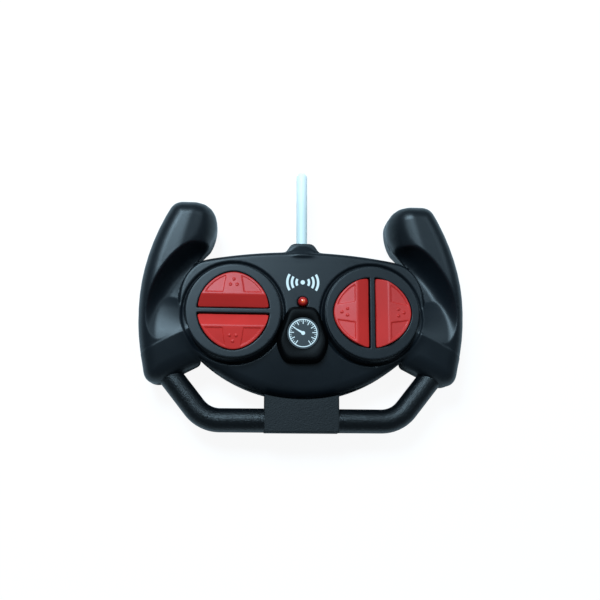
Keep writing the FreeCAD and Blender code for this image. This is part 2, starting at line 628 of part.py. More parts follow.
# ---------------------------------------------------------------- bezels
def make_bezel(name, sign, turned):
    """A bezel: a round face on a spigot, with two half-moon openings and a rib between them."""
    body = doc.addObject("PartDesign::Body", name)
    face = sketch_on(body, f"{name}_face", "XY_Plane", "turret_z")
    sketch_circle(face, BEZEL_R_MM, BEZEL_R)
    pad(body, face, "bezel_thick")
    spigot = sketch_on(body, f"{name}_spigot", "XY_Plane", "bezel_foot_z")
    sketch_circle(spigot, PAD_BORE_MM - mm.fit_gap, f"{PAD_BORE} - fit_gap")
    pad(body, spigot, "turret_z - bezel_foot_z")
    for way in (1, -1):
        moon = sketch_on(body, f"{name}_opening_{'far' if way < 0 else 'near'}", "XY_Plane", "bezel_foot_z")
        sketch_half_moon(moon, BUTTON_BORE_MM, BUTTON_BORE, mm.rib_half_w, "rib_half_w")
        if way < 0:
            moon.AttachmentOffset = Placement(Vector(), Rotation(UP, 180))
            bind(moon, "AttachmentOffset.Base.z", "bezel_foot_z")
        pocket(body, moon, "2 * wall + turret_z - bezel_foot_z", upwards=True)
    body.Placement = Placement(Vector(), Rotation(UP, turned))
    place(body, f"{sign}pad_x", 0, 0)
    return body


left_bezel = piece(make_bezel("left_bezel", "-", 0))
right_bezel = piece(make_bezel("right_bezel", "", 90))


# ---------------------------------------------------------------- buttons
def make_button(name, sign, turned):
    """A half-moon button: hollow cap with a ridge along its straight edge, a flange and a plunger."""
    body = doc.addObject("PartDesign::Body", name)
    foot = "bezel_foot_z - slide_gap - flange_thick"
    cap = sketch_on(body, f"{name}_cap", "XY_Plane", foot)
    sketch_half_moon(cap, mm.button_r, "button_r", mm.button_offset, "button_offset")
    pad(body, cap, f"button_ridge_z - ({foot})")
    relief = sketch_on(body, f"{name}_relief", "YZ_Plane", "-span / 2")
    ridge = mm.button_offset + mm.ridge_at
    rim = mm.button_offset + mm.button_r
    sketch_outline(relief, [
        Vector(0, mm.button_low_z), Vector(mm.button_offset, mm.button_low_z),
        Vector(ridge, mm.button_ridge_z),
        Vector(rim, mm.button_edge_z), Vector(rim + mm.wall, mm.button_edge_z),
        Vector(rim + mm.wall, mm.button_ridge_z + mm.wall), Vector(0, mm.button_ridge_z + mm.wall)])
    pocket(body, relief, "span", upwards=True)
    flange = sketch_on(body, f"{name}_flange", "XY_Plane", foot)
    reach = mm.button_r + mm.flange_lip - mm.button_offset
    sketch_half_moon(flange, reach, f"{FLANGE_R} - button_offset", mm.button_offset, "button_offset")
    pad(body, flange, "flange_thick")
    hollow = sketch_on(body, f"{name}_hollow", "XY_Plane", foot)
    sketch_half_moon(hollow, mm.button_r - mm.button_wall - mm.wall / 2, "button_r - button_wall - wall / 2",
                     mm.button_offset + mm.button_wall, "button_offset + button_wall")
    pocket(body, hollow, f"button_low_z - button_wall - ({foot})", upwards=True)
    plunger = sketch_on(body, f"{name}_plunger", "XY_Plane", "board_z + board_thick + dome_rise + fit_gap")
    sketch_circle(plunger, mm.plunger_r, "plunger_r", mm.plunger_at, "plunger_at")
    pad(body, plunger, "button_low_z - button_wall / 2 - board_z - board_thick - dome_rise - fit_gap")
    body.Placement = Placement(Vector(), Rotation(UP, turned))
    place(body, f"{sign}pad_x", 0, 0)
    return body


def make_dome(name, x, y):
    """A rubber switch dome: a flat foot under a cone."""
    top = "board_z + board_thick"
    foot = rod(f"{name}_foot", "dome_r", (x, y, top), "dome_rise / 4")
    cone = rod(f"{name}_cone", "dome_r * 0.85", (x, y, f"{top} + dome_rise / 4"), "dome_rise * 3 / 4",
               "z", "plunger_r")
    return fuse(name, foot, cone)


BUTTONS = [("forward", "-", 0, "-pad_x", "plunger_at"), ("reverse", "-", 180, "-pad_x", "-plunger_at"),
           ("left", "", 90, "pad_x - plunger_at", 0), ("right", "", -90, "pad_x + plunger_at", 0)]
for word, sign, turned, dome_x, dome_y in BUTTONS:
    piece(make_button(f"{word}_button", sign, turned))
    piece(make_dome(f"{word}_dome", dome_x, dome_y))


# ---------------------------------------------------------------- gauge pod
def pod_outline():
    """An egg: a wide circle and a narrow one joined by their common tangents."""
    low, high = Vector(0, mm.pod_y), Vector(0, mm.pod_tip_y)
    lean = math.asin((mm.pod_r - mm.pod_tip_r) / (mm.pod_tip_y - mm.pod_y))
    way = Vector(math.cos(lean), math.sin(lean))
    right = low + way * mm.pod_r, high + way * mm.pod_tip_r
    left = [Vector(-p.x, p.y) for p in right]
    return Part.Wire([Part.LineSegment(right[0], right[1]).toShape(),
                      Part.Arc(right[1], high + Vector(0, mm.pod_tip_r), left[1]).toShape(),
                      Part.LineSegment(left[1], left[0]).toShape(),
                      Part.Arc(left[0], low - Vector(0, mm.pod_r), right[0]).toShape()])


pod_egg = shaped("pod_egg", Part.Face(pod_outline()).extrude(UP * (mm.pod_z - mm.split_z)))
place(pod_egg, 0, 0, "split_z")
dial_room = rod("dial_room", "dial_r + fit_gap", (0, "dial_y", "pod_z - dial_depth"), "wall")
pod_lamp_hole = rod("pod_lamp_hole", "led_r + slide_gap", (0, "led_y", 0), "span")
gauge_pod = piece(cut("gauge_pod", pod_egg, case_outer, dial_room, pod_lamp_hole, *turrets))
gauge_dial = piece(rod("gauge_dial", "dial_r", (0, "dial_y", "pod_z - dial_depth"), "dial_thick"))

# ---------------------------------------------------------------- antenna
antenna = rod("antenna_whip", "antenna_r", (0, "antenna_foot_y", "split_z"),
              "antenna_tip_y - antenna_r - antenna_foot_y", "y")
antenna_tip = ball("antenna_tip", "antenna_r", (0, "antenna_tip_y - antenna_r", "split_z"))
antenna_pilot = rod("antenna_pilot", "board_screw_r", (0, "antenna_foot_y - wall", "split_z"),
                    "3 * wall", "y")
antenna_rod = piece(cut("antenna_rod", fuse("antenna_form", antenna, antenna_tip), antenna_pilot))
lug = rod("antenna_lug", "antenna_r", (0, "antenna_foot_y - contact_thick", "split_z"), "contact_thick", "y")
lug_head = rod("antenna_screw_head", "antenna_r / 2",
               (0, "antenna_foot_y - contact_thick - head_thick", "split_z"), "head_thick", "y")
lug_shank = rod("antenna_screw_shank", "board_screw_r", (0, "antenna_foot_y - contact_thick", "split_z"),
                "contact_thick + 2 * wall", "y")
antenna_screw = piece(fuse("antenna_screw", lug, lug_head, lug_shank))

# ---------------------------------------------------------------- circuit board
board = doc.addObject("PartDesign::Body", "circuit_board")
blank = sketch_on(board, "board_blank", "XY_Plane", "board_z")
reach, chamfer, high, low = mm.board_half_w, mm.board_corner, mm.board_top_y, mm.board_bottom_y
half = [Vector(reach, low + chamfer), Vector(reach, high - chamfer), Vector(reach - chamfer, high)]
other = [Vector(-p.x, p.y) for p in reversed(half)]
sketch_outline(blank, [Vector(reach - chamfer, low)] + half + other + [Vector(-reach + chamfer, low)])
pad(board, blank, "board_thick")
holes = sketch_on(board, "board_holes", "XY_Plane", "board_z")
for across in (1, -1):
    for along in (1, -1):
        hole = holes.addGeometry(Part.Circle(
            Vector(across * mm.board_screw_x, along * mm.board_screw_y), UP, mm.board_screw_r))
        tie(holes, "Radius", hole, value=mm.board_screw_r, formula="board_screw_r")
        tie(holes, "DistanceX", -1, 1, hole, 3,
            value=across * mm.board_screw_x, formula=f"{across} * board_screw_x")
        tie(holes, "DistanceY", -1, 1, hole, 3,
            value=along * mm.board_screw_y, formula=f"{along} * board_screw_y")
pocket(board, holes, "board_thick", upwards=True)
piece(board)


def under_board(name, x, y, wide, long, deep):
    """A boxy part hanging from the board's underside."""
    return block(name, (f"{x} - {wide} / 2", f"{x} + {wide} / 2"),
                 (f"{y} - {long} / 2", f"{y} + {long} / 2"), (f"board_z - {deep}", "board_z"))


SIDE_X = "(bay_half_w + bay_wall + side_room)"
CHIP_X = f"-{SIDE_X} + leg_row"
LEG_STEP = 2.54                              # the pitch of every dual-row chip
chip_case = under_board("chip_case", CHIP_X, 0, "chip_wide", "chip_long", "chip_deep")
chip_legs = [under_board(f"chip_leg_{row:+d}_{k}", f"{CHIP_X} + {row} * leg_row", LEG_STEP * (k - 3.5),
                         "contact_thick", "2 * contact_thick", "chip_deep / 2")
             for row in (-1, 1) for k in range(8)]
encoder_chip = piece(fuse("encoder_chip", chip_case, *chip_legs))
crystal = piece(under_board("crystal", f"-{SIDE_X} - chip_wide", 0,
                            "crystal_wide", "crystal_long", "crystal_deep"))
coil_at = (SIDE_X, "coil_size")
tuning_coil = piece(fuse(
    "tuning_coil", under_board("coil_can", *coil_at, "coil_size", "coil_size", "coil_deep"),
    rod("coil_core", "coil_size / 5", (*coil_at, "board_z - coil_deep - contact_thick"), "contact_thick")))
transistors = piece(group("transistors", [
    common(f"transistor_{k}",
           rod(f"transistor_round_{k}", "can_r", (f"{SIDE_X} + leg_row", y, "board_z - can_tall"),
               "can_tall"),
           under_board(f"transistor_flat_{k}", f"{SIDE_X} + leg_row + can_r / 2", y,
                       "2 * can_r", "3 * can_r", "2 * can_tall"))
    for k, y in enumerate(("-can_r / 2", "-can_r * 3"))]))
CAPACITORS = (("- leg_row - can_r / 3", "-can_r * 1.3", 1.0), ("- leg_row - can_r / 3", "-can_r * 4.6", 1.3),
              ("+ coil_size - contact_thick", "coil_size + can_r", 0.8))
capacitors = piece(group("capacitors", [
    rod(f"capacitor_{k}", f"can_r * {scale}", (f"{SIDE_X} {dx}", y, f"board_z - can_tall * {scale}"),
        f"can_tall * {scale}")
    for k, (dx, y, scale) in enumerate(CAPACITORS)]))
resistors = piece(group("resistors", [
    rod(f"resistor_{k}", "resistor_r",
        (f"-{SIDE_X} - leg_row", f"{row} * resistor_row", "board_z - resistor_r"), "resistor_len", "x")
    for k, row in enumerate((-5, -4, 4, 5))]))

lamp_body = rod("lamp_body", "led_r", (0, "led_y", "board_z + board_thick + slide_gap"),
                "led_top_z - led_r - board_z - board_thick - slide_gap")
lamp_ring = rod("lamp_ring", "led_r + slide_gap / 3", (0, "led_y", "board_z + board_thick"),
                "slide_gap + fit_gap")
lamp_dome = ball("lamp_dome", "led_r", (0, "led_y", "led_top_z - led_r"))
status_led = piece(fuse("status_led", lamp_body, lamp_ring, lamp_dome))


def screw(name, x, y, seat, length, radius, head_radius, head_thick, head_down):
    """A pan-head screw: its head below the seat when it is driven upwards, or above it."""
    if head_down:
        head = rod(f"{name}_head", head_radius, (x, y, f"{seat} - {head_thick}"), head_thick)
        shank = rod(f"{name}_shank", radius, (x, y, seat), length)
    else:
        head = rod(f"{name}_head", head_radius, (x, y, seat), head_thick)
        shank = rod(f"{name}_shank", radius, (x, y, f"{seat} - ({length})"), length)
    return fuse(name, head, shank)


case_screws = piece(group("case_screws", [
    screw(f"case_screw_{k}", x, y, "seat_z", "split_z - seat_z + screw_reach",
          "screw_r", "head_r", "head_thick", True)
    for k, (x, y) in enumerate(SPOTS)]))
board_screws = piece(group("board_screws", [
    screw(f"board_screw_{k}", x, y, "board_z + board_thick", "2 * wall + board_thick",
          "board_screw_r", "2 * board_screw_r", "board_screw_r", False)
    for k, (x, y) in enumerate(BOARD_SPOTS)]))

# ---------------------------------------------------------------- batteries
PLATE = "bay_half_w - contact_thick"         # inner face of a contact plate
START = "-cell_len / 2 + (spring_len - cell_button) / 2"
END = "cell_len / 2 + (spring_len - cell_button) / 2"
CELLS = ((1, START, END), (-1, f"-({END})", f"-({END}) - cell_button"))
for k, (row, can_at, nub_at) in enumerate(CELLS, start=1):
    row_y = f"{row} * cell_pitch / 2"
    can = rod(f"cell_can_{k}", "cell_r", (can_at, row_y, "cell_z"), "cell_len", "x")
    nub = rod(f"cell_nub_{k}", "cell_button_r", (nub_at, row_y, "cell_z"), "cell_button", "x")
    piece(fuse(f"battery_cell_{k}", can, nub))


def contact(name, sign, y_low, y_high):
    inner, outer = (f"{sign}({PLATE})", f"{sign}bay_half_w")
    span_x = (outer, inner) if sign else (inner, outer)
    return block(name, span_x, (y_low, y_high), ("cell_z - cell_r / 2", "cell_z + cell_r * 3 / 4"))


def coil_spring(name, plate, cell, row):
    """A contact spring: a wire helix along X from inside its plate to a cell's flat end."""
    radius, wire, turns = mm.cell_button_r, mm.contact_thick / 2, 3
    length = abs(plate - cell) - wire
    helix = Part.makeHelix(length / turns, length, radius)
    start = helix.Edges[0].Vertexes[0].Point
    ring = Part.Wire([Part.Circle(start, Vector(0, 1, 0), wire).toShape()])
    solid = Part.Wire(helix.Edges).makePipeShell([ring], True, True)
    solid.rotate(Vector(), Vector(0, 1, 0), 90)
    solid.translate(Vector(min(plate, cell + wire), row * mm.cell_pitch / 2, mm.cell_z))
    return shaped(name, solid)


cell_end = (mm.cell_len + mm.spring_len - mm.cell_button) / 2 - (mm.spring_len - mm.cell_button)
plate_x = mm.bay_half_w - mm.contact_thick
PLATE_HALF = "cell_r * 3 / 4"


def tab(name, row):
    """The tab of a contact plate that reaches through the bay's wall to its lead."""
    return block(name, (PLATE, "bay_half_w + 2 * bay_wall"),
                 (f"{row} * cell_pitch / 2 - wall + slide_gap", f"{row} * cell_pitch / 2 + wall - slide_gap"),
                 ("cell_z", "cell_z + wall / 2"))


positive_contact = piece(fuse(
    "positive_contact",
    contact("positive_plate", "", f"cell_pitch / 2 - {PLATE_HALF}", f"cell_pitch / 2 + {PLATE_HALF}"),
    tab("positive_tab", 1)))
negative_spring = piece(fuse(
    "negative_spring",
    contact("negative_plate", "", f"-cell_pitch / 2 - {PLATE_HALF}", f"-cell_pitch / 2 + {PLATE_HALF}"),
    tab("negative_tab", -1), coil_spring("negative_coil", plate_x, cell_end, -1)))
bridge_contact = piece(fuse(
    "bridge_contact",
    contact("bridge_plate", "-", f"-cell_pitch / 2 - {PLATE_HALF}", f"cell_pitch / 2 + {PLATE_HALF}"),
    coil_spring("bridge_coil", -plate_x, -cell_end, 1)))


def lead(name, points, bend):
    """An insulated wire: straight runs joined by tangent arcs."""
    return piece(shaped(name, tube(route([Vector(*p) for p in points], bend), mm.lead_r)))


tab_end = mm.bay_half_w + 2 * mm.bay_wall
tab_mid = mm.cell_z + mm.wall / 4
for name, row in (("red_battery_lead", 1), ("black_battery_lead", -1)):
    y = row * mm.cell_pitch / 2
    lead(name, [(tab_end, y, tab_mid), (tab_end + 4 * mm.lead_r, y, tab_mid),
                (tab_end + 4 * mm.lead_r, y, mm.board_z)], 2 * mm.lead_r)
lug_y = mm.antenna_foot_y - mm.contact_thick
lug_z = mm.split_z - mm.antenna_r + mm.lead_r
joint_y = mm.board_top_y - mm.wall
lead("antenna_lead", [(0, lug_y, lug_z), (0, joint_y, lug_z), (0, joint_y, mm.board_z)], 2 * mm.lead_r)

# ---------------------------------------------------------------- battery door
door = doc.addObject("PartDesign::Body", "battery_door")


def door_plate(name, half_width, height):
    plate = sketch_on(door, name, "XY_Plane", height)
    low, high = -mm.hump_half_l, mm.door_top_y
    sketch_outline(plate, [Vector(-half_width, low), Vector(half_width, low),
                           Vector(half_width, high), Vector(-half_width, high)])
    return plate


pad(door, door_plate("door_face", mm.door_half_w, 0), "door_thick")
pad(door, door_plate("door_tongues", mm.door_half_w + mm.tongue, "tongue_z"), "door_thick - tongue_z")
grooves = sketch_on(door, "thumb_grooves", "XY_Plane")
for k in range(4):
    y = -mm.hump_half_l + (2 + 1.5 * k) * mm.wall
    w, l = mm.pod_r * 0.8, mm.wall / 4
    first = grooves.GeometryCount
    corners = [Vector(-w, y - l), Vector(w, y - l), Vector(w, y + l), Vector(-w, y + l)]
    grooves.addGeometry([Part.LineSegment(corners[i], corners[(i + 1) % 4]) for i in range(4)])
    for i in range(4):
        grooves.addConstraint(Sketcher.Constraint("Coincident", first + i, 2, first + (i + 1) % 4, 1))
pocket(door, grooves, "door_thick / 3", upwards=True)
piece(door)

# ---------------------------------------------------------------- write out
doc.recompute()
for thing in doc.Objects:
    if {"Invalid", "Error"} & set(thing.State):
        raise RuntimeError(f"{thing.Name} did not build: {thing.State}")
os.makedirs("parts", exist_ok=True)
for thing in PIECES:
    shape = thing.Shape
    if shape.isNull() or not shape.isValid():
        raise RuntimeError(f"{thing.Label} has no sound shape")
    print(f"{thing.Label:20s} solids {len(shape.Solids):2d} volume {shape.Volume:10.1f}")
for thing in PIECES:
    thing.Shape.exportStep(f"parts/{thing.Label}.step")
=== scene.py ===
"""Dresses a toy radio transmitter shaped like a racing wheel: satin black case, grainy lower bar,
red half-moon buttons, printed gauge, red lamp and a white whip antenna."""
import json
import math

import bpy
import numpy as np
from mathutils import Matrix, Vector


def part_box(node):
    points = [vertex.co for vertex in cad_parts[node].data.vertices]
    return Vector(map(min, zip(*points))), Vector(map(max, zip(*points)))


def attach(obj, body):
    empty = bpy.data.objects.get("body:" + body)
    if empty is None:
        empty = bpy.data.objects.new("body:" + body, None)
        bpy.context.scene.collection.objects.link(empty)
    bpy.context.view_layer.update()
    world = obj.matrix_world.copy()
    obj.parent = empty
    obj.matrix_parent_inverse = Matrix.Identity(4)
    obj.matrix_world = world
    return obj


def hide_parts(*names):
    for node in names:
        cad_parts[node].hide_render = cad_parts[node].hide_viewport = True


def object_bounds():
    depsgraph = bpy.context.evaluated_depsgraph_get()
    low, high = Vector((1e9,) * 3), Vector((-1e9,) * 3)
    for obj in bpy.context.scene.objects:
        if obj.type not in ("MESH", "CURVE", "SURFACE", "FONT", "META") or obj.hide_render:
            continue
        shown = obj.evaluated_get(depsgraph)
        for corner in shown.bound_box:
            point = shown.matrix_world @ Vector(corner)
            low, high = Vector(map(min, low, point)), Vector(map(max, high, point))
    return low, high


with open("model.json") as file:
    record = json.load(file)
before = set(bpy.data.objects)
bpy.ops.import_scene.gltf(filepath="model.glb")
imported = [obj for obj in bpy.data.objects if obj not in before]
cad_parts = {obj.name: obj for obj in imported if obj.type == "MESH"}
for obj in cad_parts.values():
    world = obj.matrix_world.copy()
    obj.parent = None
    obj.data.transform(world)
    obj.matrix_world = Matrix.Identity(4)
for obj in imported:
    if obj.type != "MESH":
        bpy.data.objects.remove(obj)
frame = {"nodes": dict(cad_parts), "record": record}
CAD_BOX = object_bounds()
NODES = frame["nodes"]
MM = 0.001


# ---------------------------------------------------------------- camera, lamps and floor
def aim(thing, place, target, roll=0.0):
    """Put a camera or lamp at a place, looking at a target, its top towards +Y, turned by roll degrees."""
    back = (Vector(place) - Vector(target)).normalized()
    right = Vector((0, 1, 0)).cross(back).normalized()
    up = back.cross(right)
    turn = math.radians(roll)
    right, up = right * math.cos(turn) + up * math.sin(turn), up * math.cos(turn) - right * math.sin(turn)
    thing.matrix_world = Matrix([[right[k], up[k], back[k], place[k]] for k in range(3)] + [[0, 0, 0, 1]])


VIEW_TARGET = Vector((-1.0, 8.3, 20.0)) * MM
VIEW_BACK = Vector((-math.tan(math.radians(4.0)), -math.tan(math.radians(12.0)), 1.0)).normalized()
VIEW_DISTANCE = 450 * MM
VIEW_LENS = 51.0
VIEW_ROLL = 0.2


def make_camera():
    camera = bpy.data.objects.new("view_camera", bpy.data.cameras.new("view_camera"))
    bpy.context.scene.collection.objects.link(camera)
    camera.data.lens = VIEW_LENS
    camera.data.clip_start = 0.01
    aim(camera, VIEW_TARGET + VIEW_BACK * VIEW_DISTANCE, VIEW_TARGET, VIEW_ROLL)
    bpy.context.scene.camera = camera


def make_lamp(name, place, size, watts, colour=(1.0, 1.0, 1.0)):
    """A square soft box aimed at the middle of the case."""
    lamp = bpy.data.lights.new(name, "AREA")
    lamp.size, lamp.energy, lamp.color = size, watts, colour
    thing = bpy.data.objects.new(name, lamp)
    bpy.context.scene.collection.objects.link(thing)
    aim(thing, Vector(place), Vector((0, 0, 0.02)))


# ---------------------------------------------------------------- shader maths
class Field:
    """A number that varies over a surface; arithmetic on it adds Math nodes to its material."""

    def __init__(self, paint, socket):
        self.paint, self.socket = paint, socket

    def math(self, operation, *values):
        node = self.paint.node("ShaderNodeMath", {"operation": operation}, dict(enumerate((self, *values))))
        return Field(self.paint, node.outputs[0])

    def __add__(self, other):
        return self.math("ADD", other)

    def __sub__(self, other):
        return self.math("SUBTRACT", other)

    def __mul__(self, other):
        return self.math("MULTIPLY", other)

    def __truediv__(self, other):
        return self.math("DIVIDE", other)

    def __rsub__(self, other):
        return (self * -1) + other

    def __gt__(self, other):
        return self.math("GREATER_THAN", other)

    __radd__, __rmul__ = __add__, __mul__

    def fade(self, low, high):
        """0 below low, 1 above high, smooth between; the other way round when low is the larger."""
        node = self.paint.node("ShaderNodeMapRange", {"interpolation_type": "SMOOTHSTEP"},
                               {"Value": self, "From Min": low, "From Max": high})
        return Field(self.paint, node.outputs["Result"])


class Paint:
    """One material being drawn with nodes."""

    def __init__(self, name):
        self.material = bpy.data.materials.new(name)
        self.material.use_nodes = True
        self.tree = self.material.node_tree
        self.tree.nodes.clear()
        self.place = self.node("ShaderNodeTexCoord").outputs["Object"]

    def node(self, kind, settings=None, values=None):
        """Add a node: its settings first, then the value or link of each named or numbered socket."""
        node = self.tree.nodes.new(kind)
        for key, setting in (settings or {}).items():
            if key == "stops":
                ramp = node.color_ramp
                while len(ramp.elements) < len(setting):
                    ramp.elements.new(0.5)
                for element, (spot, colour) in zip(ramp.elements, setting):
                    element.position, element.color = spot, colour
            else:
                setattr(node, key, setting)
        for key, value in (values or {}).items():
            if isinstance(value, Field):
                value = value.socket
            if isinstance(value, bpy.types.NodeSocket):
                self.tree.links.new(value, node.inputs[key])
            else:
                node.inputs[key].default_value = value
        return node

    def noise(self, scale, detail=3.0, roughness=0.5, stretch=(1, 1, 1)):
        """Cloudy noise from 0 to 1, finer as scale grows (features are about 1/scale metres)."""
        mapping = self.node("ShaderNodeMapping", values={"Vector": self.place, "Scale": stretch})
        node = self.node("ShaderNodeTexNoise", values={
            "Vector": mapping.outputs[0], "Scale": scale, "Detail": detail, "Roughness": roughness})
        return Field(self, node.outputs["Fac"])

    def axes(self):
        """The three object coordinates, in millimetres."""
        split = self.node("ShaderNodeSeparateXYZ", values={"Vector": self.place})
        return [Field(self, split.outputs[k]) * 1000 for k in range(3)]

    def blend(self, factor, first, second):
        """From the first colour to the second as the factor goes from 0 to 1."""
        node = self.node("ShaderNodeMix", {"data_type": "RGBA"})
        for key, value in ((0, factor), (6, first), (7, second)):
            if isinstance(value, Field):
                value = value.socket
            if isinstance(value, bpy.types.NodeSocket):
                self.tree.links.new(value, node.inputs[key])
            elif key:
                node.inputs[key].default_value = (*value[:3], 1)
            else:
                node.inputs[key].default_value = value
        return node.outputs[2]

    def relief(self, height, depth, under=None):
        """A normal bumped by a height field that runs from 0 to 1 over depth metres."""
        values = {"Height": height, "Distance": depth, "Strength": 1.0}
        if under is not None:
            values["Normal"] = under
        return self.node("ShaderNodeBump", values=values).outputs["Normal"]

    def soften(self, radius):
        """Rounds the light on sharp edges, like the small radii that moulded plastic has."""
        return self.node("ShaderNodeBevel", {"samples": 4}, {"Radius": radius}).outputs["Normal"]

    def surface(self, **sockets):
        """Finish with one shader; keys are its socket names with underscores for spaces."""
        shader = self.node("ShaderNodeBsdfPrincipled", values={
            key.replace("_", " "): value for key, value in sockets.items()})
        output = self.node("ShaderNodeOutputMaterial")
        self.tree.links.new(shader.outputs[0], output.inputs["Surface"])
        return self.material


def tint(colour, share):
    """A colour with its brightness times a share."""
    return tuple(channel * share for channel in colour[:3])


def moulded(name, colour, roughness=0.42, grain=0.000012, edge=0.0004, index=1.4):
    """Satin moulded plastic: faint flow clouds, fine spark texture and softly rounded edges."""
    paint = Paint(name)
    cloud = paint.noise(28, 3)
    fine = paint.noise(5200, 2, 0.6)
    rubbed = paint.noise(160, 4, 0.65).fade(0.52, 0.75)
    base = paint.blend(cloud.fade(0.3, 0.7), tint(colour, 0.88), tint(colour, 1.12))
    rough = cloud * 0.08 + fine * 0.06 + rubbed * -0.05 + (roughness - 0.05)
    normal = paint.relief(fine, grain, paint.soften(edge))
    return paint.surface(Base_Color=base, Roughness=rough, Normal=normal, IOR=index)


def sparked(name, colour):
    """Coarse spark-eroded texture of the lower bar: a grainy surface that glitters."""
    paint = Paint(name)
    grit = paint.noise(1500, 2, 0.7)
    pits = paint.noise(700, 3, 0.6)
    base = paint.blend(grit.fade(0.35, 0.7), tint(colour, 0.5), tint(colour, 1.4))
    height = grit * 0.7 + pits * 0.3
    x, _, _ = paint.axes()
    on_block = x.math("ABSOLUTE").fade(19.4, 19.1)
    return paint.surface(Base_Color=base, Roughness=0.26 + grit * 0.12 + on_block * 0.25, IOR=1.4,
                         Normal=paint.relief(height, 0.0003, paint.soften(0.0012)))


def metal(name, colour, roughness=0.3, brushed=(1, 1, 12)):
    paint = Paint(name)
    grain = paint.noise(900, 3, 0.6, brushed)
    base = paint.blend(grain, tint(colour, 0.85), colour)
    return paint.surface(Base_Color=base, Metallic=1.0, Roughness=grain * 0.2 + (roughness - 0.1),
                         Normal=paint.relief(grain, 0.00001))


def rubber(name, colour):
    paint = Paint(name)
    dust = paint.noise(600, 4, 0.6)
    base = paint.blend(dust, tint(colour, 0.85), colour)
    return paint.surface(Base_Color=base, Roughness=0.6 + dust * 0.15, Normal=paint.relief(dust, 0.00003))


CASE_BLACK = (0.0040, 0.0060, 0.0085)
BEZEL_BLACK = (0.0040, 0.0060, 0.0085)
POD_BLACK = (0.0012, 0.0012, 0.0015)
BAR_BLACK = (0.0025, 0.0034, 0.0046)
BUTTON_RED = (0.66, 0.026, 0.020)
PRINT_WHITE = (0.92, 0.92, 0.88)

MATERIALS = {
    "case": moulded("case_plastic", CASE_BLACK, 0.37),
    "bezel": moulded("bezel_plastic", BEZEL_BLACK, 0.38),
    "bar": sparked("bar_plastic", BAR_BLACK),
    "pod": moulded("pod_plastic", POD_BLACK, 0.5, index=1.2),
    "button": moulded("button_plastic", BUTTON_RED, 0.38),
    "rubber": rubber("dome_silicone", (0.6, 0.6, 0.57)),
    "board": moulded("board_phenolic", (0.33, 0.20, 0.07), 0.5),
    "chip": moulded("chip_epoxy", (0.02, 0.02, 0.022), 0.5),
    "tin": metal("tinned_can", (0.72, 0.72, 0.72)),
    "capacitor": moulded("capacitor_sleeve", (0.03, 0.04, 0.16), 0.35),
    "resistor": moulded("resistor_lacquer", (0.62, 0.45, 0.25), 0.4),
    "screw": metal("screw_zinc", (0.66, 0.67, 0.68)),
    "lead_white": moulded("white_wire", (0.75, 0.75, 0.73), 0.4),
    "lead_red": moulded("red_wire", (0.5, 0.03, 0.03), 0.4),
    "lead_black": moulded("black_wire", (0.02, 0.02, 0.02), 0.4),
    "cell": moulded("cell_sleeve", (0.05, 0.22, 0.10), 0.3),
    "contact": metal("contact_nickel", (0.70, 0.69, 0.65)),
}


def circle_mask(x, y, radius, soft=0.12):
    """1 inside a circle about the origin of x and y, fading over soft millimetres."""
    away = (x * x + y * y).math("SQRT")
    return away, away.fade(radius + soft, radius - soft)


def near(value, target, half_width, soft=0.06):
    """1 where a value is within half_width of a target."""
    return (value - target).math("ABSOLUTE").fade(half_width + soft, half_width - soft)


def gauge_print():
    """Dial: a pale ring, ticks that point inwards round the top, and a tapered pointer."""
    paint = Paint("dial_print")
    x, y, _ = paint.axes()
    low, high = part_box("gauge_dial")
    y = y - (low.y + high.y) / 2 / MM
    reach = (high.x - low.x) / 2 / MM
    away, _ = circle_mask(x, y, reach)
    turn = x.math("ARCTAN2", y)
    scale_part = turn.math("ABSOLUTE").fade(2.62, 2.56)
    ring = near(away, reach * 0.87, 0.22)

    def ticks(step, half_width, inner):
        beside = (turn / step).math("ADD", 0.5).math("FRACT")
        off = (beside - 0.5).math("ABSOLUTE") * step * away
        band = near(away, (inner + reach * 0.87) / 2, (reach * 0.87 - inner) / 2)
        return off.fade(half_width + 0.05, half_width - 0.05) * band * scale_part

    major = ticks(math.radians(29), 0.22, reach * 0.58)
    minor = ticks(math.radians(29) / 3, 0.12, reach * 0.72)
    lean = math.radians(150)
    along = x * math.cos(lean) + y * math.sin(lean)
    across = (x * math.sin(lean) - y * math.cos(lean)).math("ABSOLUTE")
    taper = 0.62 - along * (0.5 / (reach * 0.7))
    needle = (taper - across).fade(-0.05, 0.05) * near(along, reach * 0.33, reach * 0.36)
    hub = away.fade(1.05, 0.95)
    ink = ring.math("MAXIMUM", major).math("MAXIMUM", minor).math("MAXIMUM", needle).math("MAXIMUM", hub)
    fine = paint.noise(2500, 2)
    face = paint.blend(fine.fade(0.3, 0.7), (0.014, 0.018, 0.021), (0.022, 0.026, 0.030))
    base = paint.blend(ink * (fine * 0.15 + 0.85), face, PRINT_WHITE)
    return paint.surface(Base_Color=base, Roughness=0.4 + fine * 0.1, Normal=paint.relief(ink, 0.00003))


def lamp_lens_painted_glow():
    """Clear red lamp: darker red at the rim, with a painted glow of the lit chip, orange, over its middle."""
    paint = Paint("lamp_lens_painted_glow")
    x, y, _ = paint.axes()
    low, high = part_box("status_led")
    away, _ = circle_mask(x - (low.x + high.x) / 2 / MM, y - (low.y + high.y) / 2 / MM, 1)
    # painted glow: the base colour brightens from the lens's red to orange towards the middle, standing in
    # for the lit chip's light
    base = paint.blend(away.fade(1.3, 0.5), (0.50, 0.010, 0.008), (1.0, 0.14, 0.03))
    swirl = paint.noise(700, 2)
    return paint.surface(Base_Color=base, Roughness=0.12 + swirl * 0.05, Coat_Weight=0.6, IOR=1.5)


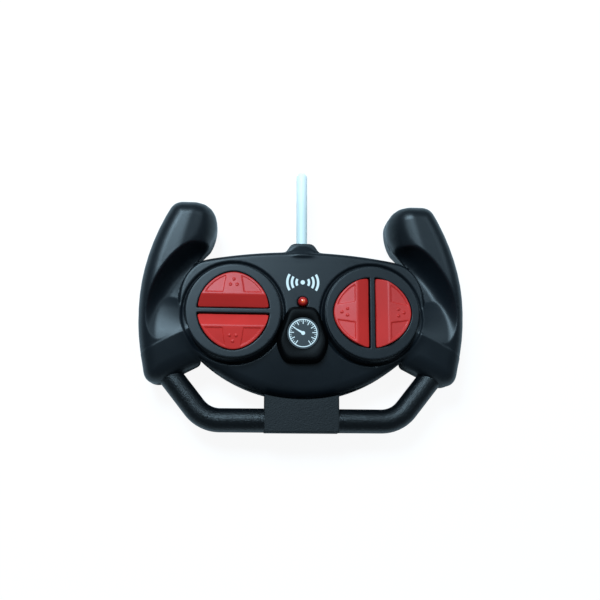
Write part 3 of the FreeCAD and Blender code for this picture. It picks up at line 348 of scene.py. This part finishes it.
def antenna_plastic():
    """Milky bluish plastic of the antenna, paler towards its tip."""
    paint = Paint("antenna_plastic")
    _, y, _ = paint.axes()
    cloud = paint.noise(90, 3)
    base = paint.blend(y.fade(52, 80), (0.80, 0.84, 0.80), (0.99, 0.99, 0.97))
    return paint.surface(Base_Color=base, Roughness=0.45 + cloud * 0.1, IOR=1.5,
                         Normal=paint.relief(paint.noise(3000, 2), 0.000006))


def printed_case():
    """Case plastic with a white radio-wave sign above the lamp: a dot between three pairs of arcs."""
    paint = Paint("printed_case_plastic")
    x, y, z = paint.axes()
    sign_y = SIGN_Y
    away, dot = circle_mask(x, y - sign_y, 1.15, 0.08)
    level = (y - sign_y).math("ABSOLUTE") - x.math("ABSOLUTE") * 0.62
    sector = level.fade(0.08, -0.08)
    arcs = dot
    for radius in (3.3, 5.7, 8.1):
        arcs = arcs.math("MAXIMUM", near(away, radius, 0.62, 0.08) * sector)
    ink = arcs * (z > 24)
    cloud = paint.noise(28, 3)
    fine = paint.noise(5200, 2, 0.6)
    rubbed = paint.noise(160, 4, 0.65).fade(0.52, 0.75)
    plain = paint.blend(cloud.fade(0.3, 0.7), tint(CASE_BLACK, 0.88), tint(CASE_BLACK, 1.12))
    base = paint.blend(ink * (fine * 0.2 + 0.8), plain, PRINT_WHITE)
    rough = cloud * 0.08 + fine * 0.06 + rubbed * -0.05 + 0.32
    return paint.surface(Base_Color=base, Roughness=rough, IOR=1.4,
                         Normal=paint.relief(fine, 0.000012, paint.soften(0.0006)))


SIGN_Y = 16.5
MATERIALS["dial"] = gauge_print()
MATERIALS["antenna"] = antenna_plastic()
MATERIALS["lamp"] = lamp_lens_painted_glow()
PRINTED_CASE = printed_case()
SLOTS = {part["node"]: part["material_slot"] for part in frame["record"]["subparts"]}


def dress(thing, material):
    thing.data.materials.clear()
    thing.data.materials.append(material)


for node_name, slot_name in SLOTS.items():
    dress(NODES[node_name], MATERIALS[slot_name])
dress(NODES["front_shell"], PRINTED_CASE)


# ---------------------------------------------------------------- surfaces
def add_piece(name, points, faces, material, body, stands_for):
    """A smooth mesh from points in millimetres, which rides on a body in place of its CAD node."""
    mesh = bpy.data.meshes.new(name)
    mesh.from_pydata((points * MM).tolist(), [], faces)
    mesh.polygons.foreach_set("use_smooth", np.ones(len(mesh.polygons), bool))
    mesh.update()
    thing = bpy.data.objects.new(name, mesh)
    bpy.context.scene.collection.objects.link(thing)
    dress(thing, material)
    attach(thing, body)
    if stands_for:
        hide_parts(*stands_for)
    return thing


def skin(name, rows, material, body, stands_for):
    """A closed piece from a grid of points in millimetres: rows run from the top pole to the bottom one,
    each row closes on itself anticlockwise, and each end closes in a fan about its mean point."""
    count, around = rows.shape[:2]
    points = np.concatenate([rows.reshape(-1, 3), rows[0].mean(0)[None], rows[-1].mean(0)[None]])
    at = np.arange(count * around).reshape(count, around)
    beside = np.roll(at, -1, axis=1)
    quads = np.stack([at[1:], beside[1:], beside[:-1], at[:-1]], -1).reshape(-1, 4)
    first = np.stack([np.full(around, count * around), at[0], beside[0]], -1)
    last = np.stack([np.full(around, count * around + 1), beside[-1], at[-1]], -1)
    faces = quads.tolist() + first.tolist() + last.tolist()
    return add_piece(name, points, faces, material, body, stands_for)


def moulding(name, depth_in, height, under, box, pitch, rim, floor, material, body, stands_for):
    """A closed moulding over an outline with holes, all in millimetres.

    depth_in(x, y) is the distance inside the outline. A square grid covers the part that is deeper than
    rim, and its border is drawn onto that depth by Newton steps along the gradient. From there rows run
    out to the outline and down its wall to the floor. height(x, y) gives the front and under(x, y) the
    underside, which has the same grid."""
    x, y = np.meshgrid(np.arange(box[0], box[1], pitch), np.arange(box[2], box[3], pitch), indexing="ij")
    kept = depth_in(x, y) > rim - 0.45 * pitch
    at = np.arange(x.size).reshape(x.shape)
    cells = np.stack([at[:-1, :-1], at[1:, :-1], at[1:, 1:], at[:-1, 1:]], -1)
    whole = kept[:-1, :-1] & kept[1:, :-1] & kept[1:, 1:] & kept[:-1, 1:]
    used, cells = np.unique(cells[whole], return_inverse=True)
    cells = cells.reshape(-1, 4)
    x, y = x.ravel()[used], y.ravel()[used]
    ends = np.stack([cells, np.roll(cells, -1, axis=1)], -1).reshape(-1, 2)
    code, twin = ends[:, 0] * len(x) + ends[:, 1], ends[:, 1] * len(x) + ends[:, 0]
    ends = ends[~np.isin(code, twin)]
    edge, ends = np.unique(ends, return_inverse=True)
    ends = ends.reshape(-1, 2)

    def slope(px, py, small=0.05):
        return ((depth_in(px + small, py) - depth_in(px - small, py)) / (2 * small),
                (depth_in(px, py + small) - depth_in(px, py - small)) / (2 * small))

    for _ in range(4):
        slope_x, slope_y = slope(x[edge], y[edge])
        step_by = (rim - depth_in(x[edge], y[edge])) / np.maximum(slope_x ** 2 + slope_y ** 2, 0.2)
        step_by = np.clip(step_by, -pitch, pitch)
        x[edge] += step_by * slope_x
        y[edge] += step_by * slope_y
    slope_x, slope_y = slope(x[edge], y[edge])
    steep = np.maximum(np.hypot(slope_x, slope_y), 0.3)
    out_x, out_y = -slope_x / steep, -slope_y / steep
    rows = []
    for share in (0.35, 0.62, 0.82, 0.94, 0.995):
        row_x, row_y = x[edge] + out_x * rim * share, y[edge] + out_y * rim * share
        rows.append(np.stack([row_x, row_y, np.maximum(height(row_x, row_y), floor)], -1))
    brink = rows[-1]
    for share in (0.5, 1.0):
        rows.append(np.concatenate([brink[:, :2], brink[:, 2:] * (1 - share) + floor * share], -1))
    front = np.stack([x, y, np.maximum(height(x, y), floor)], -1)
    back = np.stack([x, y, np.clip(under(x, y), floor, front[:, 2] - 0.2)], -1)
    back[edge, 2] = floor
    points = np.concatenate([front, back] + rows)
    count, round_count = len(x), len(edge)
    around = [2 * count + k * round_count + np.arange(round_count) for k in range(len(rows))]
    levels = [edge] + around + [edge + count]
    start, end = ends[:, 0], ends[:, 1]
    strips = [np.stack([inner[end], inner[start], outer[start], outer[end]], -1)
              for inner, outer in zip(levels, levels[1:])]
    faces = np.concatenate([cells, cells[:, ::-1] + count] + strips)
    return add_piece(name, points, faces.tolist(), material, body, stands_for)


def step(value, soft):
    """0 well below zero, 1 well above it, with a smooth rise about soft wide."""
    return 1 / (1 + np.exp(-np.clip(value / soft, -40, 40)))


def ramp(value, low, high):
    """0 below low, 1 above high, and a smooth cubic between."""
    share = np.clip((value - low) / (high - low), 0, 1)
    return share * share * (3 - 2 * share)


def past(value, soft):
    """About the value where it is positive and 0 where it is negative, with a smooth turn."""
    return soft * np.logaddexp(0, value / soft)


def soft_max(first, second, soft):
    """The larger of two values, with a fillet about soft wide where they meet."""
    return (first + second + np.sqrt((first - second) ** 2 + soft ** 2)) / 2


def rounding(depth, radius):
    """How far a quarter-round rim lies below the face at a depth inside the outline."""
    away = np.clip(radius - depth, 0, radius)
    return radius - np.sqrt(radius ** 2 - away ** 2)


def rounded_outline(corners):
    """A closed outline through (x, y, reach) corners, each rounded by a parabola over its reach."""
    corners = np.array(corners, float)
    spot, reach = corners[:, :2], corners[:, 2:]
    ways = [np.roll(spot, turn, axis=0) - spot for turn in (1, -1)]
    start, end = [spot + way / np.linalg.norm(way, axis=1)[:, None] * reach for way in ways]
    share = np.linspace(0, 1, 9)[None, :, None]
    curve = (start[:, None] * (1 - share) ** 2 + 2 * spot[:, None] * share * (1 - share)
             + end[:, None] * share ** 2)
    return curve.reshape(-1, 2)


def outline_depth(x, y, outline):
    """Distance inside a closed outline, negative outside: the nearest of its straight runs, and the sign
    from how many runs lie to the right of the point."""
    start, end = outline, np.roll(outline, -1, axis=0)
    way = end - start
    from_start_x, from_start_y = x[..., None] - start[:, 0], y[..., None] - start[:, 1]
    share = (from_start_x * way[:, 0] + from_start_y * way[:, 1]) / np.maximum((way ** 2).sum(1), 1e-12)
    share = np.clip(share, 0, 1)
    gap = np.hypot(from_start_x - share * way[:, 0], from_start_y - share * way[:, 1]).min(-1)
    crosses = (start[:, 1] > y[..., None]) != (end[:, 1] > y[..., None])
    rise = np.where(way[:, 1] == 0, 1e-12, way[:, 1])
    right_of = from_start_x < way[:, 0] * from_start_y / rise
    inside = (crosses & right_of).sum(-1) % 2 == 1
    return np.where(inside, gap, -gap)


# ---------------------------------------------------------------- front shell
# Sizes are in millimetres and angles in degrees. Angles turn about a pad's centre, from the side that
# faces the middle of the case upwards and over to the grip.
SHELL_LOW, SHELL_HIGH = [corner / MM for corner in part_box("front_shell")]
BEZEL_LOW, BEZEL_HIGH = [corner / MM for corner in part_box("right_bezel")]
LAMP_LOW, LAMP_HIGH = [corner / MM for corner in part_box("status_led")]
HALF_SPAN = SHELL_HIGH.x
SPLIT_Z = SHELL_LOW.z
GRIP_TOP = SHELL_HIGH.z - 0.02
BODY_Z, BODY_TOP, BODY_BOTTOM = 26.0, 33.3, -44.3
BODY_TOP_ARC, BODY_BOTTOM_ARC, DOME_ARC = 263.0, 78.0, 166.0
GRIP_ARC, GRIP_WIDE_Y = 118.0, -2.5
PAD_X = (BEZEL_LOW.x + BEZEL_HIGH.x) / 2
BEZEL_R = (BEZEL_HIGH.x - BEZEL_LOW.x) / 2
TURRET_Z = BEZEL_HIGH.z - 1.5
PAD_BORE = BEZEL_R - 3.6
LAMP_Y = (LAMP_LOW.y + LAMP_HIGH.y) / 2
COLLAR_TOP, COLLAR_FOOT = 38.2, 30.6
COLLAR_R, COLLAR_FOOT_R = 5.7, 10.2
COLLAR_ROUND, COLLAR_POWER = 2.4, 2.6
WALL = 2.0
DOME_START = 2.0
EDGE_TOP, EDGE_BOTTOM = 2.4, 4.0
PLATEAU_R, PLATEAU_NARROWS, PLATEAU_EDGE = 32.4, 5.2, 1.6
LOBE_SLOPE, LOBE_START, LOBE_FALL = 0.191, 12.5, 0.42
GRIP_ROUND, BEND_SOFT = 8.5, 0.8
SCOOP_IN, SCOOP_OUT, SCOOP_WIDENS = 29.5, 42.2, 2.6
SCOOP_FLOOR, SCOOP_RISE = 20.6, 4.0
SCOOP_CLIMB_FROM, SCOOP_CLIMB_OVER = 166.0, 37.0
SCOOP_FLAT = 0.26
GROOVE_DEEP, GROOVE_OUT = 1.4, 2.9


def grip_edge(y):
    """Outer edge of a grip: an arc that is widest a little below the pads."""
    return HALF_SPAN - GRIP_ARC + np.sqrt(GRIP_ARC ** 2 - (y - GRIP_WIDE_Y) ** 2)


OUTER_Y = np.linspace(-27.0, 50.0, 12)
GRIP_OUTLINE = rounded_outline(
    [(grip_edge(y), y, 1.0) for y in OUTER_Y]
    + [(68.0, 58.2, 5.0), (56.5, 58.2, 1.5), (51.6, 57.3, 1.2), (48.3, 55.3, 1.2), (46.3, 52.3, 1.2),
       (45.5, 48.6, 1.2), (45.7, 45.2, 1.2), (46.5, 41.7, 1.2), (49.0, 35.4, 1.2), (58.0, 25.5, 1.0),
       (52.0, 0.0, 1.0), (52.5, -26.2, 3.0), (73.0, -36.6, 1.5), (80.6, -36.6, 6.0)])
COLLAR_OUTLINE = rounded_outline([(COLLAR_FOOT_R, COLLAR_FOOT, 0.5), (COLLAR_R, COLLAR_TOP, 2.4),
                                  (-COLLAR_R, COLLAR_TOP, 2.4), (-COLLAR_FOOT_R, COLLAR_FOOT, 0.5),
                                  (0.0, 20.0, 1.0)])


def body_depth(x, y):
    """Distance inside the central body, a lens between two arcs."""
    top = BODY_TOP_ARC - np.hypot(x, y - BODY_TOP + BODY_TOP_ARC)
    bottom = BODY_BOTTOM_ARC - np.hypot(x, y - BODY_BOTTOM - BODY_BOTTOM_ARC)
    return np.minimum(top, bottom)


def shell_depth(x, y):
    """Distance inside the shell's outline: body, grips and collar joined, less the pad and lamp bores."""
    across = np.abs(x)
    body = np.minimum(body_depth(x, y), 66.0 - across)
    whole = soft_max(body, outline_depth(across, y, GRIP_OUTLINE), 1.6)
    whole = soft_max(whole, outline_depth(x, y, COLLAR_OUTLINE), 1.2)
    whole = np.minimum(whole, np.hypot(across - PAD_X, y) - PAD_BORE)
    return np.minimum(whole, np.hypot(x, y - LAMP_Y) - 2.8)


def grip_height(across, y):
    """Front of a grip before the scoop: level at the top and falling to the lobe, with a broad rounded
    outer rim and an inner flank that curves away from a ridge line."""
    level = GRIP_TOP - past(LOBE_SLOPE * (LOBE_START - y), BEND_SOFT)
    flank = past(-0.96 * (across - 56.7) - 0.28 * (y - 55.0), BEND_SOFT)
    level = level - (0.22 * flank + 0.022 * flank ** 2) * ramp(y, 2.0, 24.0)
    level = level - LOBE_FALL * past(63.0 - across, 2.0) * ramp(-y, 4.0, 20.0)
    depth = outline_depth(across, y, GRIP_OUTLINE)
    lobe = ramp(-y, 2.0, 10.0)
    depth = depth + lobe * (soft_max(depth, body_depth(across, y), 2.4) - depth)
    return level - rounding(np.clip(depth, 0, None), GRIP_ROUND)


def body_height(across, y, out, turn):
    """Front of the body: level above, a falling arc below, with rounded edges. Beside a pad it ends in a
    plateau's round edge, which closes in on the pad as it nears the scoop's lower end."""
    fall = DOME_START - np.minimum(y, DOME_START)
    dome = BODY_Z - (DOME_ARC - np.sqrt(DOME_ARC ** 2 - fall ** 2))
    rim = EDGE_TOP + EDGE_BOTTOM * ramp(-y, 18.0, 34.0)
    plateau = PLATEAU_R - PLATEAU_NARROWS * ramp(turn, 130.0, 192.0) + 30.0 * ramp(turn, 202.5, 206.0)
    plateau = np.where(across > PAD_X, plateau - out, 40.0)
    body = dome - rounding(np.clip(body_depth(across, y), 0, None), rim)
    return np.where(plateau > 0, body - rounding(np.clip(plateau, 0, None), PLATEAU_EDGE), 0.0)


def scooped_height(across, y, out, turn):
    """Front of a grip with its thumb scoop. The scoop's outer wall rises as a power of the share of its
    width and its floor as a power of the angle; a power mean of both ends it in a rounded crease."""
    grip = grip_height(across, y)
    reach = SCOOP_OUT + SCOOP_WIDENS * ramp(turn, 145.0, 190.0) - 0.35 * past(122.0 - turn, 2.0)
    share = (out - SCOOP_IN) / (reach - SCOOP_IN)
    climb = np.clip((turn - SCOOP_CLIMB_FROM) / SCOOP_CLIMB_OVER, 0, 4) ** 1.15
    wall = np.clip((share - SCOOP_FLAT) / (1 - SCOOP_FLAT), 0, None) ** 2.2
    lift = np.minimum((wall ** 3.0 + climb ** 3.0) ** (1 / 3.0), 1)
    floor = SCOOP_FLOOR + SCOOP_RISE * ramp(turn, 135.0, 178.0)
    return floor + (grip - floor) * lift


def collar_height(across, y):
    """Front of the antenna's collar: a cone with a squarish section and a rounded mouth."""
    radius = COLLAR_FOOT_R + (COLLAR_R - COLLAR_FOOT_R) * (y - COLLAR_FOOT) / (COLLAR_TOP - COLLAR_FOOT)
    mouth = rounding(np.clip(COLLAR_TOP - y, 0, None), COLLAR_ROUND)
    radius = np.maximum(radius - mouth - 3.0 * past(COLLAR_FOOT - y, 0.3), 0.01)
    section = np.clip(1 - (across / radius) ** COLLAR_POWER, 0, 1) ** (1 / COLLAR_POWER)
    return SPLIT_Z + radius * section


def shell_height(x, y):
    """Front face of the shell: body, grips with their thumb scoops, a groove round each pad, and collar."""
    across = np.abs(x)
    out = np.hypot(across - PAD_X, y)
    turn = np.degrees(np.arctan2(y, PAD_X - across)) % 360
    lobe = ramp(-y, 4.0, 12.0)
    in_grip = outline_depth(across, y, GRIP_OUTLINE)
    scooped = np.where(in_grip > -0.5 - 14.0 * lobe, scooped_height(across, y, out, turn), 0.0)
    face = soft_max(body_height(across, y, out, turn), scooped, 0.6 + 2.6 * lobe)
    face = face - GROOVE_DEEP * ramp(BEZEL_R + GROOVE_OUT - out, 0.0, 0.9)
    face = np.where(y > COLLAR_FOOT - 3, soft_max(face, collar_height(across, y), 0.6), face)
    return face - rounding(np.clip(shell_depth(x, y), 0, None), 0.5)


def shell_under(x, y):
    """Inside of the shell: a wall's thickness under its front, with a flat land round every edge."""
    return SPLIT_Z + (shell_height(x, y) - WALL - SPLIT_Z) * ramp(shell_depth(x, y), WALL, WALL + 1.2)


moulding("front_skin", shell_depth, shell_height, shell_under,
         box=(-86.0, 86.0, -46.0, 60.0), pitch=0.52, rim=1.1, floor=SPLIT_Z,
         material=PRINTED_CASE, body="case", stands_for=["front_shell"])


def make_turret(word, centre_x):
    """The raised ring round a pad: a rounded rim turned about the pad's axis, with a drafted wall."""
    outer, inner, low = BEZEL_R + 0.6, BEZEL_R - 1.5, SPLIT_Z + 5.0
    bend = np.radians(np.arange(0, 91, 15))
    profile = np.array([(inner, low), (inner, TURRET_Z)]
                       + [(outer - 0.7 + 0.7 * math.sin(a), TURRET_Z - 0.7 + 0.7 * math.cos(a)) for a in bend]
                       + [(outer + 0.9, 25.0), (outer + 1.2, low)])
    turn = np.linspace(0, 2 * np.pi, 360, endpoint=False)[:, None]
    points = np.stack([centre_x + np.cos(turn) * profile[:, 0], np.sin(turn) * profile[:, 0],
                       np.broadcast_to(profile[:, 1], (360, len(profile)))], -1)
    at = np.arange(points[..., 0].size).reshape(points.shape[:2])
    ahead, across = np.roll(at, -1, axis=0), np.roll(at, -1, axis=1)
    faces = np.stack([at, ahead, np.roll(ahead, -1, axis=1), across], -1).reshape(-1, 4)
    add_piece(f"{word}_turret", points.reshape(-1, 3), faces[:, ::-1].tolist(),
              MATERIALS["case"], "case", [])


make_turret("left", -PAD_X)
make_turret("right", PAD_X)


# ---------------------------------------------------------------- buttons and bezels
BUTTON_X, BUTTON_Y, BUTTON_POWER = 18.4, 20.25, 1.85
BUTTON_EDGE, RIB_HALF = 1.75, 1.25
RIDGE = 8.15
BUTTON_LOW, BUTTON_HIGH, BUTTON_RIM = 29.6, 33.2, 31.2
PANEL_DEEP, PANEL_SOFT = 0.45, 0.09
DOT_R, DOT_HIGH = 0.8, 0.45
DOTS = ((0.0, 16.2), (-1.7, 13.3), (1.7, 13.3))
CORNER_POWER = 26.0


def pad_depth(x, y):
    """Distance inside the outline that both buttons of a pad share, measured along a ray from its centre:
    the set of points where |x / a|^p + |y / b|^p is below 1."""
    share = (np.abs(x) / BUTTON_X) ** BUTTON_POWER + (np.abs(y) / BUTTON_Y) ** BUTTON_POWER
    share = share ** (1 / BUTTON_POWER)
    return np.hypot(x, y) * (1 / np.maximum(share, 1e-3) - 1)


def make_bezel(word, centre_x, upright):
    """A bezel: a flat face with a small rounded rim, open round both buttons, with a rib between them."""
    low_z, high_z = [corner.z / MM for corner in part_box(f"{word}_bezel")]

    def local(x, y):
        return (y, x - centre_x) if upright else (x - centre_x, y)

    def depth(x, y):
        across, along = local(x, y)
        opening = -soft_max(-pad_depth(across, along) - 0.35, RIB_HALF - np.abs(along), 0.5)
        return np.minimum(BEZEL_R - np.hypot(across, along), -opening)

    def height(x, y):
        return high_z - rounding(np.clip(depth(x, y), 0, None), 0.45)

    def under(x, y):
        out = np.hypot(*local(x, y))
        return low_z + (TURRET_Z - low_z) * ramp(out, PAD_BORE - 0.5, PAD_BORE)

    moulding(f"{word}_pad_ring", depth, height, under,
             box=(centre_x - 25.0, centre_x + 25.0, -25.0, 25.0), pitch=0.4, rim=0.45, floor=low_z,
             material=MATERIALS["bezel"], body="case", stands_for=[f"{word}_bezel"])


def button_height(x, y):
    """Height of a button's face: it climbs from the straight edge to a ridge and falls gently to the rim;
    two corner panels are sunk either side of a tongue, which carries three raised dots."""
    climb = BUTTON_LOW + (BUTTON_HIGH - BUTTON_LOW) * (y - BUTTON_EDGE) / (RIDGE - BUTTON_EDGE)
    fall = BUTTON_HIGH - (BUTTON_HIGH - BUTTON_RIM) * (y - RIDGE) / (BUTTON_Y - RIDGE)
    face = climb - past(climb - fall, 0.16)
    tongue = 5.6 - 0.16 * (y - RIDGE)
    beside, above = step(np.abs(x) - tongue, PANEL_SOFT), step(y - RIDGE - 1.2, PANEL_SOFT)
    panels = beside * above * step(pad_depth(x, y) - 1.3, PANEL_SOFT)
    face = face - PANEL_DEEP * panels
    for dot_x, dot_y in DOTS:
        away = np.hypot(x - dot_x, y - dot_y)
        face = face + DOT_HIGH * np.sqrt(np.clip(1 - (away / DOT_R) ** 2, 0, 1))
    return face


def make_button(word, centre_x, turned):
    """A half-moon button: rows shrink from its rim to its middle over the face and again underneath.
    Each ray from the middle is cut where the shared pad outline or the straight edge is reached, found
    by halving, and a high-power mean of the two rounds the corners."""
    around, rings = 420, 110
    turn = np.linspace(0, 2 * np.pi, around, endpoint=False)
    middle = 9.0
    way_x, way_y = np.cos(turn), np.sin(turn)
    low, high = np.zeros(around), np.full(around, 40.0)
    for _ in range(30):
        guess = (low + high) / 2
        inside = pad_depth(way_x * guess, middle + way_y * guess) > 0
        low, high = np.where(inside, guess, low), np.where(inside, high, guess)
    to_edge = np.where(way_y < -0.02, (middle - BUTTON_EDGE) / np.maximum(-way_y, 0.02), 1e3)
    reach = (high ** -CORNER_POWER + to_edge ** -CORNER_POWER) ** (-1 / CORNER_POWER)
    share = 1 - (1 - np.linspace(0.004, 1, rings)) ** 1.35
    x = way_x * reach * share[:, None]
    y = middle + way_y * reach * share[:, None]
    drop = rounding(reach * (1 - share[:, None]), 0.6)
    top = np.stack([x, y, button_height(x, y) - drop], -1)
    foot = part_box(f"{word}_button")[0].z / MM
    side = [np.stack([x[-1], y[-1], top[-1, :, 2] * (1 - k) + foot * k], -1) for k in (0.25, 0.5, 0.75, 1.0)]
    under = [np.stack([way_x * reach * k, middle + way_y * reach * k, np.full(around, foot)], -1)
             for k in (0.7, 0.3)]
    rows = np.concatenate([top, np.stack(side), np.stack(under)])
    cos, sin = math.cos(math.radians(turned)), math.sin(math.radians(turned))
    flat_x, flat_y = rows[..., 0].copy(), rows[..., 1].copy()
    rows[..., 0] = centre_x + cos * flat_x - sin * flat_y
    rows[..., 1] = sin * flat_x + cos * flat_y
    name = f"{word}_button"
    skin(f"{word}_cap", rows, MATERIALS["button"], name, [name])


make_bezel("left", -PAD_X, False)
make_bezel("right", PAD_X, True)
for word, side, turned in (("forward", -1, 0), ("reverse", -1, 180), ("left", 1, 90), ("right", 1, -90)):
    make_button(word, side * PAD_X, turned)


# ---------------------------------------------------------------- gauge pod
def make_pod():
    """The pod under the dial: a rounded six-sided bell whose wall leans out to its foot. Its radius about
    the dial's centre is a power mean of flat sides, each given by the angle it faces and its distance;
    the face is sunk under the dial."""
    low, high = [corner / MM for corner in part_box("gauge_pod")]
    dial_low, dial_high = [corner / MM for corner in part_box("gauge_dial")]
    centre_y, dial_r = (dial_low.y + dial_high.y) / 2, (dial_high.x - dial_low.x) / 2
    around, power = 240, 9.0
    turn = np.linspace(0, 2 * np.pi, around, endpoint=False)
    sides = ((90.0, 14.9), (-90.0, 15.3), (20.0, 12.1), (160.0, 12.1), (-24.0, 15.0), (204.0, 15.0))
    near_side = [np.maximum(np.cos(turn - math.radians(way)), 0.02) / gap for way, gap in sides]
    reach = 1 / sum(part ** power for part in near_side) ** (1 / power)
    rows = []
    for radius in (dial_r * 0.5, dial_r - 0.2, dial_r + 0.05):
        rows.append((np.full(around, radius), dial_low.z - 0.3))
    rows += [(np.full(around, dial_r + 0.1), high.z - 0.25), (np.full(around, dial_r + 0.35), high.z)]
    face = np.maximum(reach - 2.4, dial_r + 0.7)
    rows += [(face * 0.94, high.z), (face, high.z - 0.1)]
    rows += [(face + 0.5, high.z - 0.5), (face + 0.9, high.z - 1.2)]
    rows += [(reach, BODY_Z - 0.5), (reach, low.z + 0.2), (reach * 0.5, low.z + 0.2)]
    points = np.stack([np.stack([np.cos(turn) * radius, centre_y + np.sin(turn) * radius,
                                 np.full(around, height)], -1) for radius, height in rows])
    skin("gauge_housing", points, MATERIALS["pod"], "case", ["gauge_pod"])


make_pod()


def make_room():
    """White world and floor: plain to the camera, soft light to the object."""
    world = bpy.data.worlds.new("studio")
    bpy.context.scene.world = world
    world.use_nodes = True
    tree = world.node_tree
    tree.nodes.clear()
    path = tree.nodes.new("ShaderNodeLightPath")
    seen = tree.nodes.new("ShaderNodeMath")
    seen.operation = "MAXIMUM"
    tree.links.new(path.outputs["Is Camera Ray"], seen.inputs[0])
    tree.links.new(path.outputs["Is Transmission Ray"], seen.inputs[1])
    dim, bright = tree.nodes.new("ShaderNodeBackground"), tree.nodes.new("ShaderNodeBackground")
    dim.inputs["Color"].default_value = (0.62, 0.85, 1.0, 1)
    dim.inputs["Strength"].default_value = 0.20
    bright.inputs["Strength"].default_value = 1.0
    bright.inputs["Color"].default_value = (1, 1, 1, 1)
    mix, output = tree.nodes.new("ShaderNodeMixShader"), tree.nodes.new("ShaderNodeOutputWorld")
    tree.links.new(seen.outputs[0], mix.inputs[0])
    tree.links.new(dim.outputs[0], mix.inputs[1])
    tree.links.new(bright.outputs[0], mix.inputs[2])
    tree.links.new(mix.outputs[0], output.inputs["Surface"])

    mesh = bpy.data.meshes.new("floor")
    reach = 3.0
    corners = [(-reach, -reach, 0), (reach, -reach, 0), (reach, reach, 0), (-reach, reach, 0)]
    mesh.from_pydata(corners, [], [(0, 1, 2, 3)])
    floor = bpy.data.objects.new("floor", mesh)
    bpy.context.scene.collection.objects.link(floor)
    floor.location.z = CAD_BOX[0][2] - 0.0001
    paint = Paint("floor_white")
    shade = paint.node("ShaderNodeBsdfDiffuse", values={"Color": (0.86, 0.87, 0.88, 1)})
    glow = paint.node("ShaderNodeEmission", values={"Color": (1, 1, 1, 1), "Strength": 1.08})
    ray = Field(paint, paint.node("ShaderNodeLightPath").outputs["Is Camera Ray"])
    mixed = paint.node("ShaderNodeMixShader", values={0: ray * 0.85, 1: shade.outputs[0], 2: glow.outputs[0]})
    output = paint.node("ShaderNodeOutputMaterial")
    paint.tree.links.new(mixed.outputs[0], output.inputs["Surface"])
    dress(floor, paint.material)


bpy.context.scene.view_settings.view_transform = "Standard"
make_camera()
make_room()
make_lamp("key_lamp", (-0.22, 0.36, 0.70), 0.30, 7.3, (0.58, 0.83, 1.0))
make_lamp("fill_lamp", (0.45, 0.30, 0.70), 0.4, 1.5, (0.58, 0.83, 1.0))
